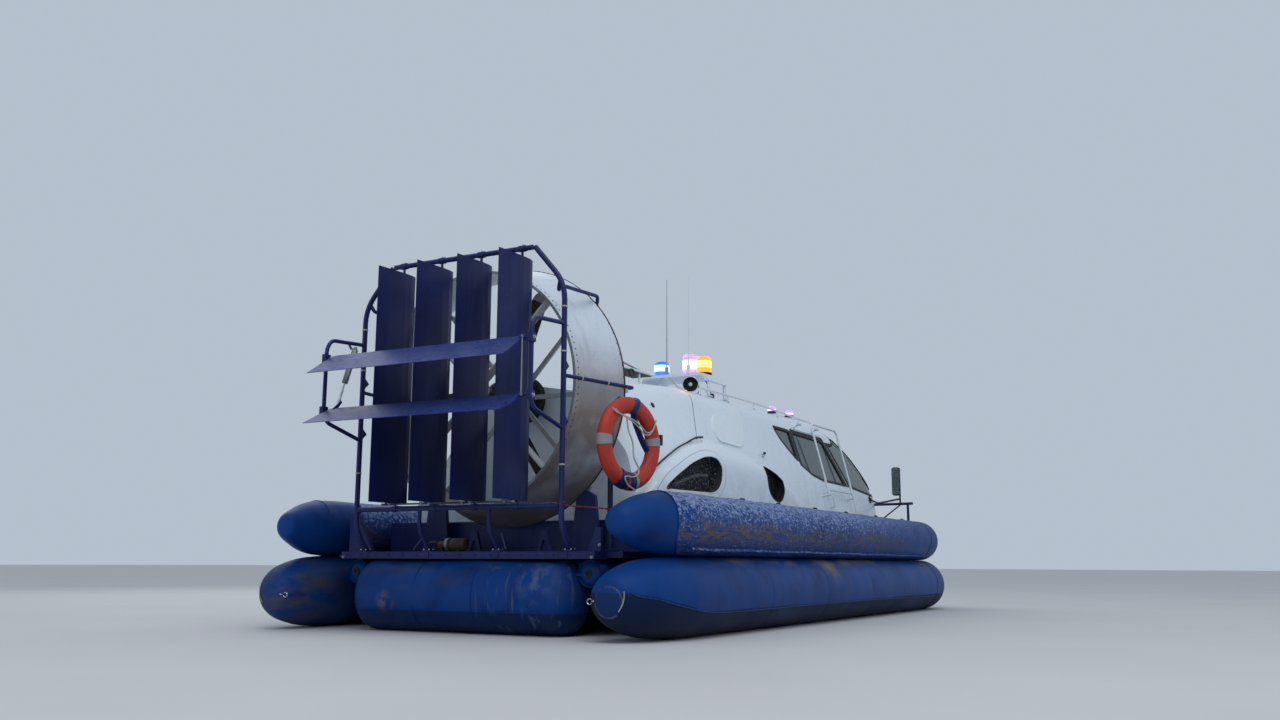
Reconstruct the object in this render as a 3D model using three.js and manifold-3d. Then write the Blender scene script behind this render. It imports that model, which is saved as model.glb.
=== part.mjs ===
// Small cabin hovercraft on inflated skirt tubes. Millimetres, bow towards +X, port towards +Y, +Z up.
// The origin is on the ground under the middle of the hull.
import * as THREE from 'three';
import { mergeVertices } from 'three/addons/utils/BufferGeometryUtils.js';
import Module from 'manifold-3d';

const wasm = await Module();
wasm.setup();

// Overall places
const BOW_X = 4590;
const GAP = 0.5;
const TUBE_SIDES = 24;

// Skirt tubes
const SKIRT_Y = 1750;
const LOW_R = 310;
const UP_R = 250;
const FLAT = Math.cos(Math.PI / TUBE_SIDES);
const LOW_Z = LOW_R * FLAT;
const UP_Z = 2 * LOW_Z + GAP + UP_R * FLAT;
const BOW_START_X = 3400;
const BOW_REACH = BOW_X - LOW_R - BOW_START_X;
const BOW_POWER = 3.5;
const CAP_START_X = -3400;
const NOSE_SHIFT = 120;
const TUBE_ROWS = [
  { name: 'low_tube', z: LOW_Z, r: LOW_R, tail: -4190,
    cap: [[0, 0], [15, 100], [60, 170], [180, 235], [380, 285], [650, 310]] },
  { name: 'up_tube', z: UP_Z, r: UP_R, tail: -4080,
    cap: [[0, 0], [15, 75], [50, 110], [140, 155], [280, 205], [450, 240], [620, 250]] },
];

// Stern skirt tube across the stern, and the inner tube ends beside it
const STERN_R = 298;
const STERN_HALF = 900;
const STERN_CAP = 180;
const STERN_X = -3600;
const INNER_R = 110;
const INNER_Y = 1165;
const INNER_Z = 482;
const INNER_TAIL_X = -3660;

// Hull
const HULL_BOTTOM = 602;
const HULL_HALF = 1410;
const DECK_Z = 920;
const LEDGE_Z = 650;
const LEDGE_FRONT_X = -2940;
const LEDGE_REAR_X = -3550;
const BEAM_REAR_X = -3740;
const BEAM_HALF = 1270;
const FOOT_X = -3700;
const GUSSET_X = -3615;

// Duct and propeller
const DUCT_Z = 2000;
const DUCT_REAR_X = -3630;
const DUCT_FRONT_X = -3070;
const DUCT_REAR_R = 1014;
const DUCT_FRONT_R = 1140;
const DUCT_THROAT_R = 985;
const PROP_X = -3250;
const PROP_R = 955;
const BLADES = 3;
const SHAFT_R = 30;
const REAR_STRUT_X = -3560;
const FRONT_STRUT_X = -2975;
const PULLEY_X = -2870;
const PULLEY_R = 210;

// Rudder frame, rudders and vanes
const FRAME_X = -3840;
const FRAME_Y = 1030;
const FRAME_R = 22;
const CROSSBAR_Z = 1000;
const SHOULDER_Z = 2750;
const TOP_Z = 3085;
const TOP_HALF = 740;
const RUDDER_Y = [-615, -205, 205, 615];
const RUDDER_LOW_Z = 1045;
const RUDDER_HIGH_Z = 3020;
const RUDDER_LEAD = 150;
const RUDDER_TRAIL = 325;
const HORN_REACH = 110;
const VANE_PIVOT_X = -4293;
const VANE_HALF = 968;
const VANE_CHORD = 380;
const VANE_AHEAD = 55;
const LINK_REACH = 60;
const BRACKET_R = 17;
const STAY_R = 16;
const VANES = [
  { name: 'vane_upper', z: 2235, pitch: 31 },
  { name: 'vane_lower', z: 1795, pitch: 25 },
];
const ACTUATOR_TOP = [-4040, 945, 2360];
const ACTUATOR_PIN = [-4215, 945, 1870];

// Cabin: outer half section at each station
const WALL = 40;
const CABIN = [
  { x: -2720, base: 1120, shoulder: 980, shoulderZ: 1500, roof: 640, roofZ: 1930, crown: 2150 },
  { x: -2420, base: 1180, shoulder: 1060, shoulderZ: 1600, roof: 800, roofZ: 2050, crown: 2220 },
  { x: -2070, base: 1220, shoulder: 1100, shoulderZ: 1640, roof: 880, roofZ: 2120, crown: 2280 },
  { x: -1500, base: 1250, shoulder: 1120, shoulderZ: 1660, roof: 925, roofZ: 2160, crown: 2325 },
  { x: 530, base: 1250, shoulder: 1120, shoulderZ: 1600, roof: 935, roofZ: 2180, crown: 2350 },
  { x: 2660, base: 1250, shoulder: 1130, shoulderZ: 1500, roof: 930, roofZ: 2160, crown: 2300 },
  { x: 3200, base: 1245, shoulder: 1135, shoulderZ: 1480, roof: 985, roofZ: 1970, crown: 2110 },
  { x: 3600, base: 1235, shoulder: 1145, shoulderZ: 1455, roof: 1065, roofZ: 1710, crown: 1840 },
  { x: 3860, base: 1200, shoulder: 1150, shoulderZ: 1410, roof: 1120, roofZ: 1475, crown: 1570 },
  { x: 3940, base: 1140, shoulder: 1120, shoulderZ: 1300, roof: 1050, roofZ: 1370, crown: 1410 },
  { x: 3970, base: 1040, shoulder: 1020, shoulderZ: 1150, roof: 930, roofZ: 1230, crown: 1270 },
];
const HATCH = [
  [-1098, 1861], [-1080, 1780], [-1031, 1751], [-800, 1742], [-560, 1738], [-456, 1772],
  [-315, 1942], [-225, 2105], [-330, 2112], [-576, 2088], [-949, 2030], [-1060, 1980],
];
const HATCH_PROUD = 16;
const DOOR_HINGE = [1020, 2180];
const CABIN_SEAM_X = -1480;
const NOSE_SEAM_X = 2880;
const ROOF_SPLIT_Z = 2130;

const material = (colour, roughness = 0.5, metalness = 0.0) =>
  new THREE.MeshStandardMaterial({ color: colour, roughness, metalness });
const FABRIC = material(0x1b4a9c, 0.55);
const NAVY = material(0x1a2466, 0.45, 0.1);
const VANE_BLUE = material(0x34459c, 0.45, 0.1);
const WHITE = material(0xd6dde2, 0.35);
const GREY = material(0x8a8f94, 0.5, 0.4);
const BLACK = material(0x15171a, 0.6);
const CHROME = material(0xcfd3d6, 0.15, 1.0);
const GLASS = material(0x2b3a40, 0.08);
const RED = material(0xd2401f, 0.6);
const SEAT = material(0x2d2f33, 0.8);
const IRON = material(0x55585c, 0.6, 0.6);

const hovercraft = new THREE.Group();

function bare(geometry) {
  const plain = geometry.clone();
  plain.deleteAttribute('normal');
  plain.deleteAttribute('uv');
  return mergeVertices(plain, 1e-4);
}

function toSolid(geometry) {
  const merged = bare(geometry);
  return new wasm.Manifold(new wasm.Mesh({
    numProp: 3,
    vertProperties: new Float32Array(merged.attributes.position.array),
    triVerts: new Uint32Array(merged.index.array),
  }));
}

function toGeometry(solid) {
  const mesh = solid.getMesh();
  const geometry = new THREE.BufferGeometry();
  geometry.setAttribute('position', new THREE.BufferAttribute(mesh.vertProperties, 3));
  geometry.setIndex(new THREE.BufferAttribute(mesh.triVerts, 1));
  geometry.computeVertexNormals();
  return geometry;
}

function join(...geometries) {
  return toGeometry(geometries.map(toSolid).reduce((sum, next) => sum.add(next)));
}

function cut(geometry, ...tools) {
  return toGeometry(tools.map(toSolid).reduce((rest, tool) => rest.subtract(tool), toSolid(geometry)));
}

function common(first, second) {
  return toGeometry(toSolid(first).intersect(toSolid(second)));
}

function add(name, geometry, finish, parent = hovercraft) {
  const mesh = new THREE.Mesh(geometry, finish);
  mesh.name = name;
  parent.add(mesh);
  return mesh;
}

function box(low, high) {
  const size = high.map((value, i) => value - low[i]);
  const geometry = new THREE.BoxGeometry(...size);
  return geometry.translate(...low.map((value, i) => value + size[i] / 2));
}

// A round bar from one point to another
function bar(from, to, radius, sides = 6, farRadius = radius) {
  const start = new THREE.Vector3(...from);
  const end = new THREE.Vector3(...to);
  const geometry = new THREE.CylinderGeometry(farRadius, radius, start.distanceTo(end), sides);
  geometry.rotateY(Math.PI / sides);
  const turn = new THREE.Quaternion().setFromUnitVectors(
    new THREE.Vector3(0, 1, 0), end.clone().sub(start).normalize());
  geometry.applyQuaternion(turn);
  return geometry.translate(...start.add(end).multiplyScalar(0.5).toArray());
}

// Round bars through a row of points, each lengthened to meet at the corners
function bars(points, radius, sides = 6) {
  const pieces = [];
  for (let i = 0; i + 1 < points.length; i += 1) {
    const start = new THREE.Vector3(...points[i]);
    const end = new THREE.Vector3(...points[i + 1]);
    const along = end.clone().sub(start).normalize().multiplyScalar(radius * 0.8);
    if (i > 0) start.sub(along);
    if (i + 2 < points.length) end.add(along);
    pieces.push(bar(start.toArray(), end.toArray(), radius, sides));
  }
  return pieces;
}

// A plate with an outline in one plane: 'xz' stands along the hull, 'yz' across it, 'xy' lies level
function plate(outline, plane, low, high) {
  const shape = new THREE.Shape(outline.map(([a, b]) => new THREE.Vector2(a, b)));
  const geometry = new THREE.ExtrudeGeometry(shape, { depth: high - low, bevelEnabled: false });
  geometry.translate(0, 0, low);
  if (plane === 'xz') geometry.rotateX(Math.PI / 2).scale(1, -1, 1);
  if (plane === 'yz') {
    geometry.applyMatrix4(new THREE.Matrix4().set(0, 0, 1, 0, 1, 0, 0, 0, 0, 1, 0, 0, 0, 0, 0, 1));
  }
  if (plane === 'xz') {
    const index = bare(geometry).index;
    const flipped = bare(geometry);
    for (let i = 0; i < index.count; i += 3) {
      flipped.index.setX(i, index.getX(i + 1));
      flipped.index.setX(i + 1, index.getX(i));
    }
    return flipped;
  }
  return geometry;
}

// A turned solid about the X axis; the profile is [x, radius] from tail to nose
function turnedX(profile, sides, centre) {
  const points = profile.map(([x, r]) => new THREE.Vector2(r, x));
  const geometry = new THREE.LatheGeometry(points, sides, Math.PI / sides);
  geometry.rotateZ(-Math.PI / 2);
  return geometry.translate(...centre);
}

// A solid through sections of equal point count, closed at both ends
function loft(sections) {
  const count = sections[0].length;
  const position = sections.flat(2);
  const index = [];
  for (let s = 0; s + 1 < sections.length; s += 1) {
    for (let p = 0; p < count; p += 1) {
      const a = s * count + p;
      const b = s * count + ((p + 1) % count);
      index.push(a, b, b + count, a, b + count, a + count);
    }
  }
  const outline = sections[0].map(([, y, z]) => new THREE.Vector2(y, z));
  const faces = THREE.ShapeUtils.triangulateShape(outline, []);
  const last = (sections.length - 1) * count;
  for (const [a, b, c] of faces) {
    index.push(a, c, b);
    index.push(last + a, last + b, last + c);
  }
  const geometry = new THREE.BufferGeometry();
  geometry.setAttribute('position', new THREE.Float32BufferAttribute(position, 3));
  geometry.setIndex(index);
  return geometry;
}

class BowCurve extends THREE.Curve {
  constructor(height) {
    super();
    this.height = height;
  }

  getPoint(t, target = new THREE.Vector3()) {
    const angle = (t - 0.5) * Math.PI;
    const round = 2 / BOW_POWER;
    const x = BOW_START_X + BOW_REACH * Math.abs(Math.cos(angle)) ** round;
    const y = Math.sign(angle) * SKIRT_Y * Math.abs(Math.sin(angle)) ** round;
    return target.set(x, y, this.height);
  }
}

// Draws a tube's tail in towards the craft's middle, more so towards its nose
function cantTail(geometry, side, tail) {
  const position = geometry.attributes.position;
  for (let i = 0; i < position.count; i += 1) {
    const along = (CAP_START_X - position.getX(i)) / (CAP_START_X - tail);
    if (along > 0) position.setY(i, position.getY(i) - side * NOSE_SHIFT * along ** 1.5);
  }
  return geometry;
}

function skirtTubes() {
  for (const row of TUBE_ROWS) {
    const profile = row.cap.map(([x, r]) => [row.tail + x, r]);
    profile.push([CAP_START_X, row.r], [BOW_START_X - GAP, row.r], [BOW_START_X - GAP, 0]);
    for (const [side, s] of [['starboard', -1], ['port', 1]]) {
      const tube = turnedX(profile, TUBE_SIDES, [0, s * SKIRT_Y, row.z]);
      add(`${row.name}_${side}`, cantTail(tube, s, row.tail), FABRIC);
    }
    const ring = new THREE.Shape();
    for (let i = 0; i < TUBE_SIDES; i += 1) {
      const angle = ((i + 0.5) * 2 * Math.PI) / TUBE_SIDES;
      const point = [row.r * Math.cos(angle), row.r * Math.sin(angle)];
      if (i === 0) ring.moveTo(...point);
      else ring.lineTo(...point);
    }
    ring.closePath();
    const bow = new THREE.ExtrudeGeometry(ring, { steps: 28, extrudePath: new BowCurve(row.z) });
    add(`${row.name}_bow`, bow, FABRIC);
  }
}

function sternTubes() {
  const r = STERN_R;
  const [half, cap] = [STERN_HALF, STERN_CAP];
  const profile = [
    [-half - cap, 0], [-half - 0.9 * cap, r * 0.44], [-half - 0.55 * cap, r * 0.835], [-half, r],
  ];
  for (const [x, radius] of [...profile].reverse()) profile.push([-x, radius]);
  const across = turnedX(profile, TUBE_SIDES, [0, 0, 0]).rotateZ(Math.PI / 2);
  across.translate(STERN_X, 0, r * FLAT);
  const inner = [-INNER_Y, INNER_Y].map((y) => turnedX([
    [INNER_TAIL_X, 0], [INNER_TAIL_X + 12, 60], [INNER_TAIL_X + 50, 95], [INNER_TAIL_X + 110, INNER_R],
    [-2600, INNER_R], [-2500, 80], [-2480, 0],
  ], 16, [0, y, INNER_Z]));
  const flaps = [[-INNER_Y, 50 - half], [half - 50, INNER_Y]].map(([low, high]) =>
    box([STERN_X - 50, low, INNER_Z - 27], [STERN_X + 290, high, INNER_Z + 3]));
  add('stern_tubes', join(across, ...inner, ...flaps), FABRIC);
}

function hull() {
  const bowPoints = [];
  for (let i = 0; i <= 12; i += 1) {
    const point = new BowCurve(0).getPoint(i / 12);
    const inset = HULL_HALF / SKIRT_Y;
    bowPoints.push([BOW_START_X + (point.x - BOW_START_X) * 0.64, point.y * inset]);
  }
  const deckOutline = [[LEDGE_FRONT_X, HULL_HALF], [LEDGE_FRONT_X, -HULL_HALF], ...bowPoints];
  const deck = plate(deckOutline, 'xy', HULL_BOTTOM, DECK_Z);
  const ledge = box([LEDGE_REAR_X, -HULL_HALF, HULL_BOTTOM], [LEDGE_FRONT_X + 10, HULL_HALF, LEDGE_Z]);
  const beam = box([BEAM_REAR_X, -BEAM_HALF, 592], [LEDGE_REAR_X + 10, BEAM_HALF, LEDGE_Z]);
  const low = LEDGE_Z - 5;
  const pylons = [-1, 1].map((side) => plate(
    [[side * 920, low], [side * 640, low], [side * 690, 1110], [side * 780, 1168], [side * 870, 1120]],
    'yz', DUCT_FRONT_X - 5, DUCT_FRONT_X + 35));
  const gussetOutlines = [
    [[1010, low], [BEAM_HALF, low], [BEAM_HALF, 960], [1185, 970]],
    [[-1150, low], [-BEAM_HALF, low], [-BEAM_HALF, 830], [-1225, 835]],
  ];
  const gussets = gussetOutlines.map((outline) => plate(outline, 'yz', GUSSET_X - 35, GUSSET_X));
  const brackets = [-532, 180].map((y) => plate([
    [y - 75, low], [y - 42, low], [y - 14, 745], [y + 14, 745], [y + 42, low],
    [y + 75, low], [y + 24, 825], [y - 24, 825]], 'yz', -3315, -3285));
  add('hull', cut(join(deck, ledge, beam, ...pylons, ...gussets, ...brackets), ductRing(1)), NAVY);
}

// The duct's ring, drawn larger all round by a clearance
function ductRing(clearance = 0) {
  const rear = DUCT_REAR_X - clearance;
  const outer = DUCT_REAR_R + clearance;
  const inner = DUCT_THROAT_R - clearance;
  const lip = DUCT_FRONT_R + clearance - DUCT_REAR_R;
  const front = DUCT_FRONT_X + clearance;
  return turnedX([
    [rear, inner + 4], [rear, outer], [DUCT_REAR_X + 300, outer + 45],
    [DUCT_FRONT_X - 60, DUCT_REAR_R + lip - 25], [front, DUCT_REAR_R + lip],
    [front + 30, DUCT_REAR_R + lip - 22], [front + 22, DUCT_FRONT_R - 60 - clearance],
    [DUCT_FRONT_X - 60, inner + 52],
    [DUCT_FRONT_X - 180, inner + 8], [DUCT_FRONT_X - 320, inner], [rear, inner + 4],
  ], 48, [0, 0, DUCT_Z]);
}

function duct() {
  add('duct', ductRing(), WHITE);

  // A flat-ended round disc about the shaft line
  const disc = (x, from, to, radius) =>
    turnedX([[from, 0], [from, radius], [to, radius], [to, 0]], 16, [x, 0, DUCT_Z]);
  const strutBar = (x, degrees, inner, outer, wide, thick) => {
    const piece = new THREE.BoxGeometry(wide, outer - inner, thick).translate(0, (inner + outer) / 2, 0);
    piece.rotateX(THREE.MathUtils.degToRad(degrees));
    return piece.translate(x, 0, DUCT_Z);
  };
  const rearBars = [45, 135, 225, 315].map((degrees) =>
    strutBar(REAR_STRUT_X, degrees, 50, DUCT_THROAT_R - 3, 90, 14));
  const rearHub = disc(REAR_STRUT_X, -60, 60, 80);
  add('rear_struts', cut(join(rearHub, ...rearBars), disc(REAR_STRUT_X, -10, 70, SHAFT_R + 4)), GREY);

  const frontDegrees = [0, 47, 133, 180, 227, 313];
  const frontBars = frontDegrees.map((degrees) =>
    strutBar(FRONT_STRUT_X, degrees, 60, DUCT_FRONT_R - 20, 22, 40));
  const lugs = frontDegrees.map((degrees) => {
    const piece = new THREE.BoxGeometry(90, 22, 40).translate(FRONT_STRUT_X - 30, DUCT_FRONT_R - 31, 0);
    return piece.rotateX(THREE.MathUtils.degToRad(degrees)).translate(0, 0, DUCT_Z);
  });
  const frontRing = disc(FRONT_STRUT_X, -30, 30, 95);
  const shaftHole = disc(FRONT_STRUT_X, -80, 80, SHAFT_R + 4);
  add('front_struts', cut(join(frontRing, ...frontBars, ...lugs), shaftHole, ductRing(0.5)), GREY);
}

function propeller() {
  const hub = turnedX([[-100, 0], [-95, 60], [-40, 110], [60, 115], [75, 0]], 20, [PROP_X, 0, DUCT_Z]);
  const shaft = turnedX([[REAR_STRUT_X - 2, 0], [REAR_STRUT_X - 2, SHAFT_R], [-2765, SHAFT_R], [-2765, 0]],
    16, [0, 0, DUCT_Z]);
  const pulley = turnedX([[-32, 0], [-32, PULLEY_R], [32, PULLEY_R], [32, 0]], 28, [PULLEY_X, 0, DUCT_Z]);
  const sections = [
    { r: 80, chord: 110, thick: 40, pitch: 58 },
    { r: 230, chord: 190, thick: 26, pitch: 48 },
    { r: 480, chord: 200, thick: 18, pitch: 34 },
    { r: 740, chord: 165, thick: 12, pitch: 26 },
    { r: PROP_R, chord: 95, thick: 7, pitch: 21 },
  ];
  const outline = [[-0.5, 0], [-0.2, -0.25], [0.2, -0.2], [0.5, 0], [0.2, 0.42], [-0.2, 0.5]];
  const blades = [];
  for (let i = 0; i < BLADES; i += 1) {
    const rings = sections.map(({ r, chord, thick, pitch }) => {
      const turn = THREE.MathUtils.degToRad(pitch);
      return outline.map(([along, across]) => {
        const u = along * chord;
        const v = across * thick;
        return [r, u * Math.cos(turn) - v * Math.sin(turn), u * Math.sin(turn) + v * Math.cos(turn)];
      });
    });
    const blade = loft(rings);
    const angle = THREE.MathUtils.degToRad(237 + (i * 360) / BLADES);
    const radial = new THREE.Vector3(0, Math.cos(angle), Math.sin(angle));
    const around = new THREE.Vector3(0, -Math.sin(angle), Math.cos(angle));
    const axis = new THREE.Vector3(1, 0, 0);
    blade.applyMatrix4(new THREE.Matrix4().makeBasis(radial, around, axis));
    blades.push(blade.translate(PROP_X, 0, DUCT_Z));
  }
  add('propeller', join(hub, shaft, pulley, ...blades), BLACK);
}

// The foot plate under a post or leg of the rudder frame
function frameFoot(y) {
  return box([FOOT_X - 45, y - 40, LEDGE_Z + GAP], [FOOT_X + 35, y + 40, LEDGE_Z + 16]);
}

function rudderFrame() {
  for (const [side, s] of [['starboard', -1], ['port', 1]]) {
    const post = bars([
      [FOOT_X, s * FRAME_Y, LEDGE_Z + 16], [FRAME_X, s * FRAME_Y, 830], [FRAME_X, s * FRAME_Y, SHOULDER_Z],
      [FRAME_X, s * TOP_HALF, TOP_Z],
    ], FRAME_R);
    const foot = frameFoot(s * FRAME_Y);
    const upperStay = bars([
      [FRAME_X, s * 985, 2790], [FRAME_X + 30, s * 950, 2705], [FRAME_X + 200, s * 880, 2790],
      [DUCT_FRONT_X + 47, s * 850, 2830], [DUCT_FRONT_X + 47, s * 835, 2742],
    ], STAY_R);
    const lowerStay = bars([
      [FRAME_X, s * FRAME_Y, 2010], [DUCT_FRONT_X + 60, s * 1190, 2010],
      [DUCT_FRONT_X + 60, s * 1152, 2010],
    ], STAY_R);
    const gussets = [2090, 1650, 1000].map((z) => plate(
      [[FRAME_X - 8, z - 75], [FRAME_X + 75, z], [FRAME_X - 8, z + 75]],
      'xz', s * FRAME_Y - 5, s * FRAME_Y + 5));
    const bracketLine = [
      [FRAME_X, 2425], [VANE_PIVOT_X + 50, 2400], [VANE_PIVOT_X, 2320],
      [VANE_PIVOT_X, 1760], [VANE_PIVOT_X + 50, 1700], [FRAME_X, 1590],
    ];
    const bracket = bars(bracketLine.map(([x, z]) => [x, s * FRAME_Y, z]), BRACKET_R);
    const [topX, topY, topZ] = ACTUATOR_TOP;
    const lug = s < 0 ? [] : [
      bar([topX, FRAME_Y, 2410], [topX, topY + 48, topZ - 6], 10),
      bar([topX, topY + 50, topZ], [topX, topY + 16, topZ], 7),
    ];
    const pipes = [...post, ...upperStay, ...lowerStay, ...bracket];
    add(`frame_${side}`, join(...pipes, foot, ...gussets, ...lug), NAVY);
  }
  const topBar = bars([
    [FRAME_X, -TOP_HALF + FRAME_R + 2, TOP_Z], [FRAME_X, TOP_HALF - FRAME_R - 2, TOP_Z]], FRAME_R);
  add('frame_top', join(...topBar), NAVY);
  const reach = FRAME_Y - FRAME_R - 1;
  const crossbar = bars([[FRAME_X, -reach, CROSSBAR_Z], [FRAME_X, reach, CROSSBAR_Z]], FRAME_R);
  const legs = [-350, 350].flatMap((y) => bars([
    [FRAME_X, y, CROSSBAR_Z], [FRAME_X, y, 830], [FOOT_X, y, LEDGE_Z + 14]], 18));
  const feet = [-350, 350].map(frameFoot);
  add('frame_crossbar', join(...crossbar, ...legs, ...feet), NAVY);
}

function rudders() {
  const outline = [[RUDDER_LEAD, 0], [90, 14], [0, 18], [-180, 12], [-RUDDER_TRAIL, 3],
    [-RUDDER_TRAIL, -3], [-180, -12], [0, -18], [90, -14]];
  RUDDER_Y.forEach((y, i) => {
    const blade = plate(outline.map(([a, b]) => [FRAME_X + a, y + b]), 'xy', RUDDER_LOW_Z, RUDDER_HIGH_Z);
    const shaft = bar([FRAME_X, y, CROSSBAR_Z + FRAME_R + 3], [FRAME_X, y, TOP_Z - FRAME_R - 3], 11);
    const horn = box([FRAME_X - HORN_REACH - 12, y - 12, RUDDER_LOW_Z - 2],
      [FRAME_X, y + 12, RUDDER_LOW_Z + 6]);
    add(`rudder_${i + 1}`, join(blade, shaft, horn), NAVY);
  });
  const pinX = FRAME_X - HORN_REACH;
  const rod = box([pinX - 8, -640, RUDDER_LOW_Z - 22], [pinX + 8, 640, RUDDER_LOW_Z - 6]);
  const eyes = RUDDER_Y.map((y) => bar([pinX, y, RUDDER_LOW_Z - 22], [pinX, y, RUDDER_LOW_Z - 3], 14));
  add('rudder_tie_rod', join(rod, ...eyes), GREY);
}

function vanes() {
  const outline = [[VANE_AHEAD, 0], [20, 12], [-120, 9], [VANE_AHEAD - VANE_CHORD, 2],
    [VANE_AHEAD - VANE_CHORD, -2], [-120, -5], [20, -8]];
  for (const { name, z, pitch } of VANES) {
    const blade = plate(outline, 'xz', -VANE_HALF, VANE_HALF);
    blade.rotateY(THREE.MathUtils.degToRad(-pitch)).translate(VANE_PIVOT_X, 0, z);
    const linkHorn = box([VANE_PIVOT_X - LINK_REACH - 16, -VANE_HALF - 8, z - 14],
      [VANE_PIVOT_X + 20, -VANE_HALF + 8, z + 14]);
    const pins = [-1, 1].map((s) => bar([VANE_PIVOT_X, s * (VANE_HALF - 20), z],
      [VANE_PIVOT_X, s * (FRAME_Y - BRACKET_R - 3), z], 8));
    const pieces = [blade, linkHorn, ...pins];
    if (name === 'vane_lower') {
      const [pinX, pinY, pinZ] = ACTUATOR_PIN;
      const arm = [[VANE_PIVOT_X - 25, z], [VANE_PIVOT_X + 25, z], [pinX + 14, pinZ], [pinX, pinZ + 14]];
      pieces.push(plate(arm, 'xz', pinY - 30, pinY - 22));
      pieces.push(bar([pinX, pinY - 26, pinZ], [pinX, pinY - 16, pinZ], 6));
    }
    add(name, join(...pieces), VANE_BLUE);
  }
  const linkX = VANE_PIVOT_X - LINK_REACH;
  const eyes = VANES.map(({ z }) => bar([linkX, -VANE_HALF - 11, z], [linkX, -VANE_HALF - 23, z], 13));
  const rod = bar([linkX, -VANE_HALF - 17, VANES[1].z], [linkX, -VANE_HALF - 17, VANES[0].z], 6);
  add('vane_link', join(rod, ...eyes), GREY);
}

function actuator() {
  const top = new THREE.Vector3(...ACTUATOR_TOP);
  const pin = new THREE.Vector3(...ACTUATOR_PIN);
  const along = pin.clone().sub(top).normalize();
  const at = (distance) => top.clone().addScaledVector(along, distance).toArray();
  const total = top.distanceTo(pin);
  const tube = bar(at(20), at(335), 26, 12);
  const eye = bar(at(-5), at(40), 14, 8);
  const bore = bar(at(140), at(340), 16, 12);
  add('actuator_cylinder', join(cut(tube, bore), eye), GREY);
  const rod = bar(at(150), at(total - 14), 11, 8);
  const rodEye = bar(at(total - 26), at(total), 15, 8);
  add('actuator_rod', join(rod, rodEye), CHROME);
}

// The cabin's closed form down to below the deck, drawn in by a distance
function cabinForm(inset) {
  const rows = CABIN.map((row, i) => {
    const end = i === 0 ? inset : i === CABIN.length - 1 ? -inset : 0;
    const half = [
      [row.base - inset, DECK_Z - 100],
      [row.base - inset, DECK_Z],
      [row.shoulder - inset, row.shoulderZ],
      [row.roof - inset, row.roofZ - inset * 0.7],
      [row.roof - 130 - inset * 0.6, row.roofZ + (row.crown - row.roofZ) * 0.6 - inset],
      [0, row.crown - inset],
    ];
    const port = half.map(([y, z]) => [row.x + end, y, z]);
    const starboard = half.slice(0, -1).reverse().map(([y, z]) => [row.x + end, -y, z]);
    return [...port, ...starboard];
  });
  return loft(rows);
}

const BRIDGE_X = -350;
const BRIDGE_TOP = 2545;
const BRIDGE_SPAN = [-760, 50];
const RAIL_Y = 800;
const LAMP_ROW_X = 2080;
// Roof front lamps on an arched bar: how far out, and how far above the roof's middle
const LAMP_ROW = [[610, 60], [380, 125]];

// Openings in the cabin's sides, drawn along the hull
const WINDOW_REAR = [[655, 2060], [655, 2094], [1150, 2094], [1150, 1717], [966, 1815], [750, 1950]];
const WINDOW_DOOR = [[1225, 1678], [1494, 1590], [1834, 1543], [2700, 1528], [2270, 2075], [1225, 2090]];
const DOOR_FRONT = [[2850, 1160], [2850, 1400], [2790, 1530]];
const WINDSCREEN = [
  [2400, 2060], [2850, 1520], [3880, 1440], [4400, 1440], [4400, 2600], [2640, 2600], [2640, 2060],
];

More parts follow.
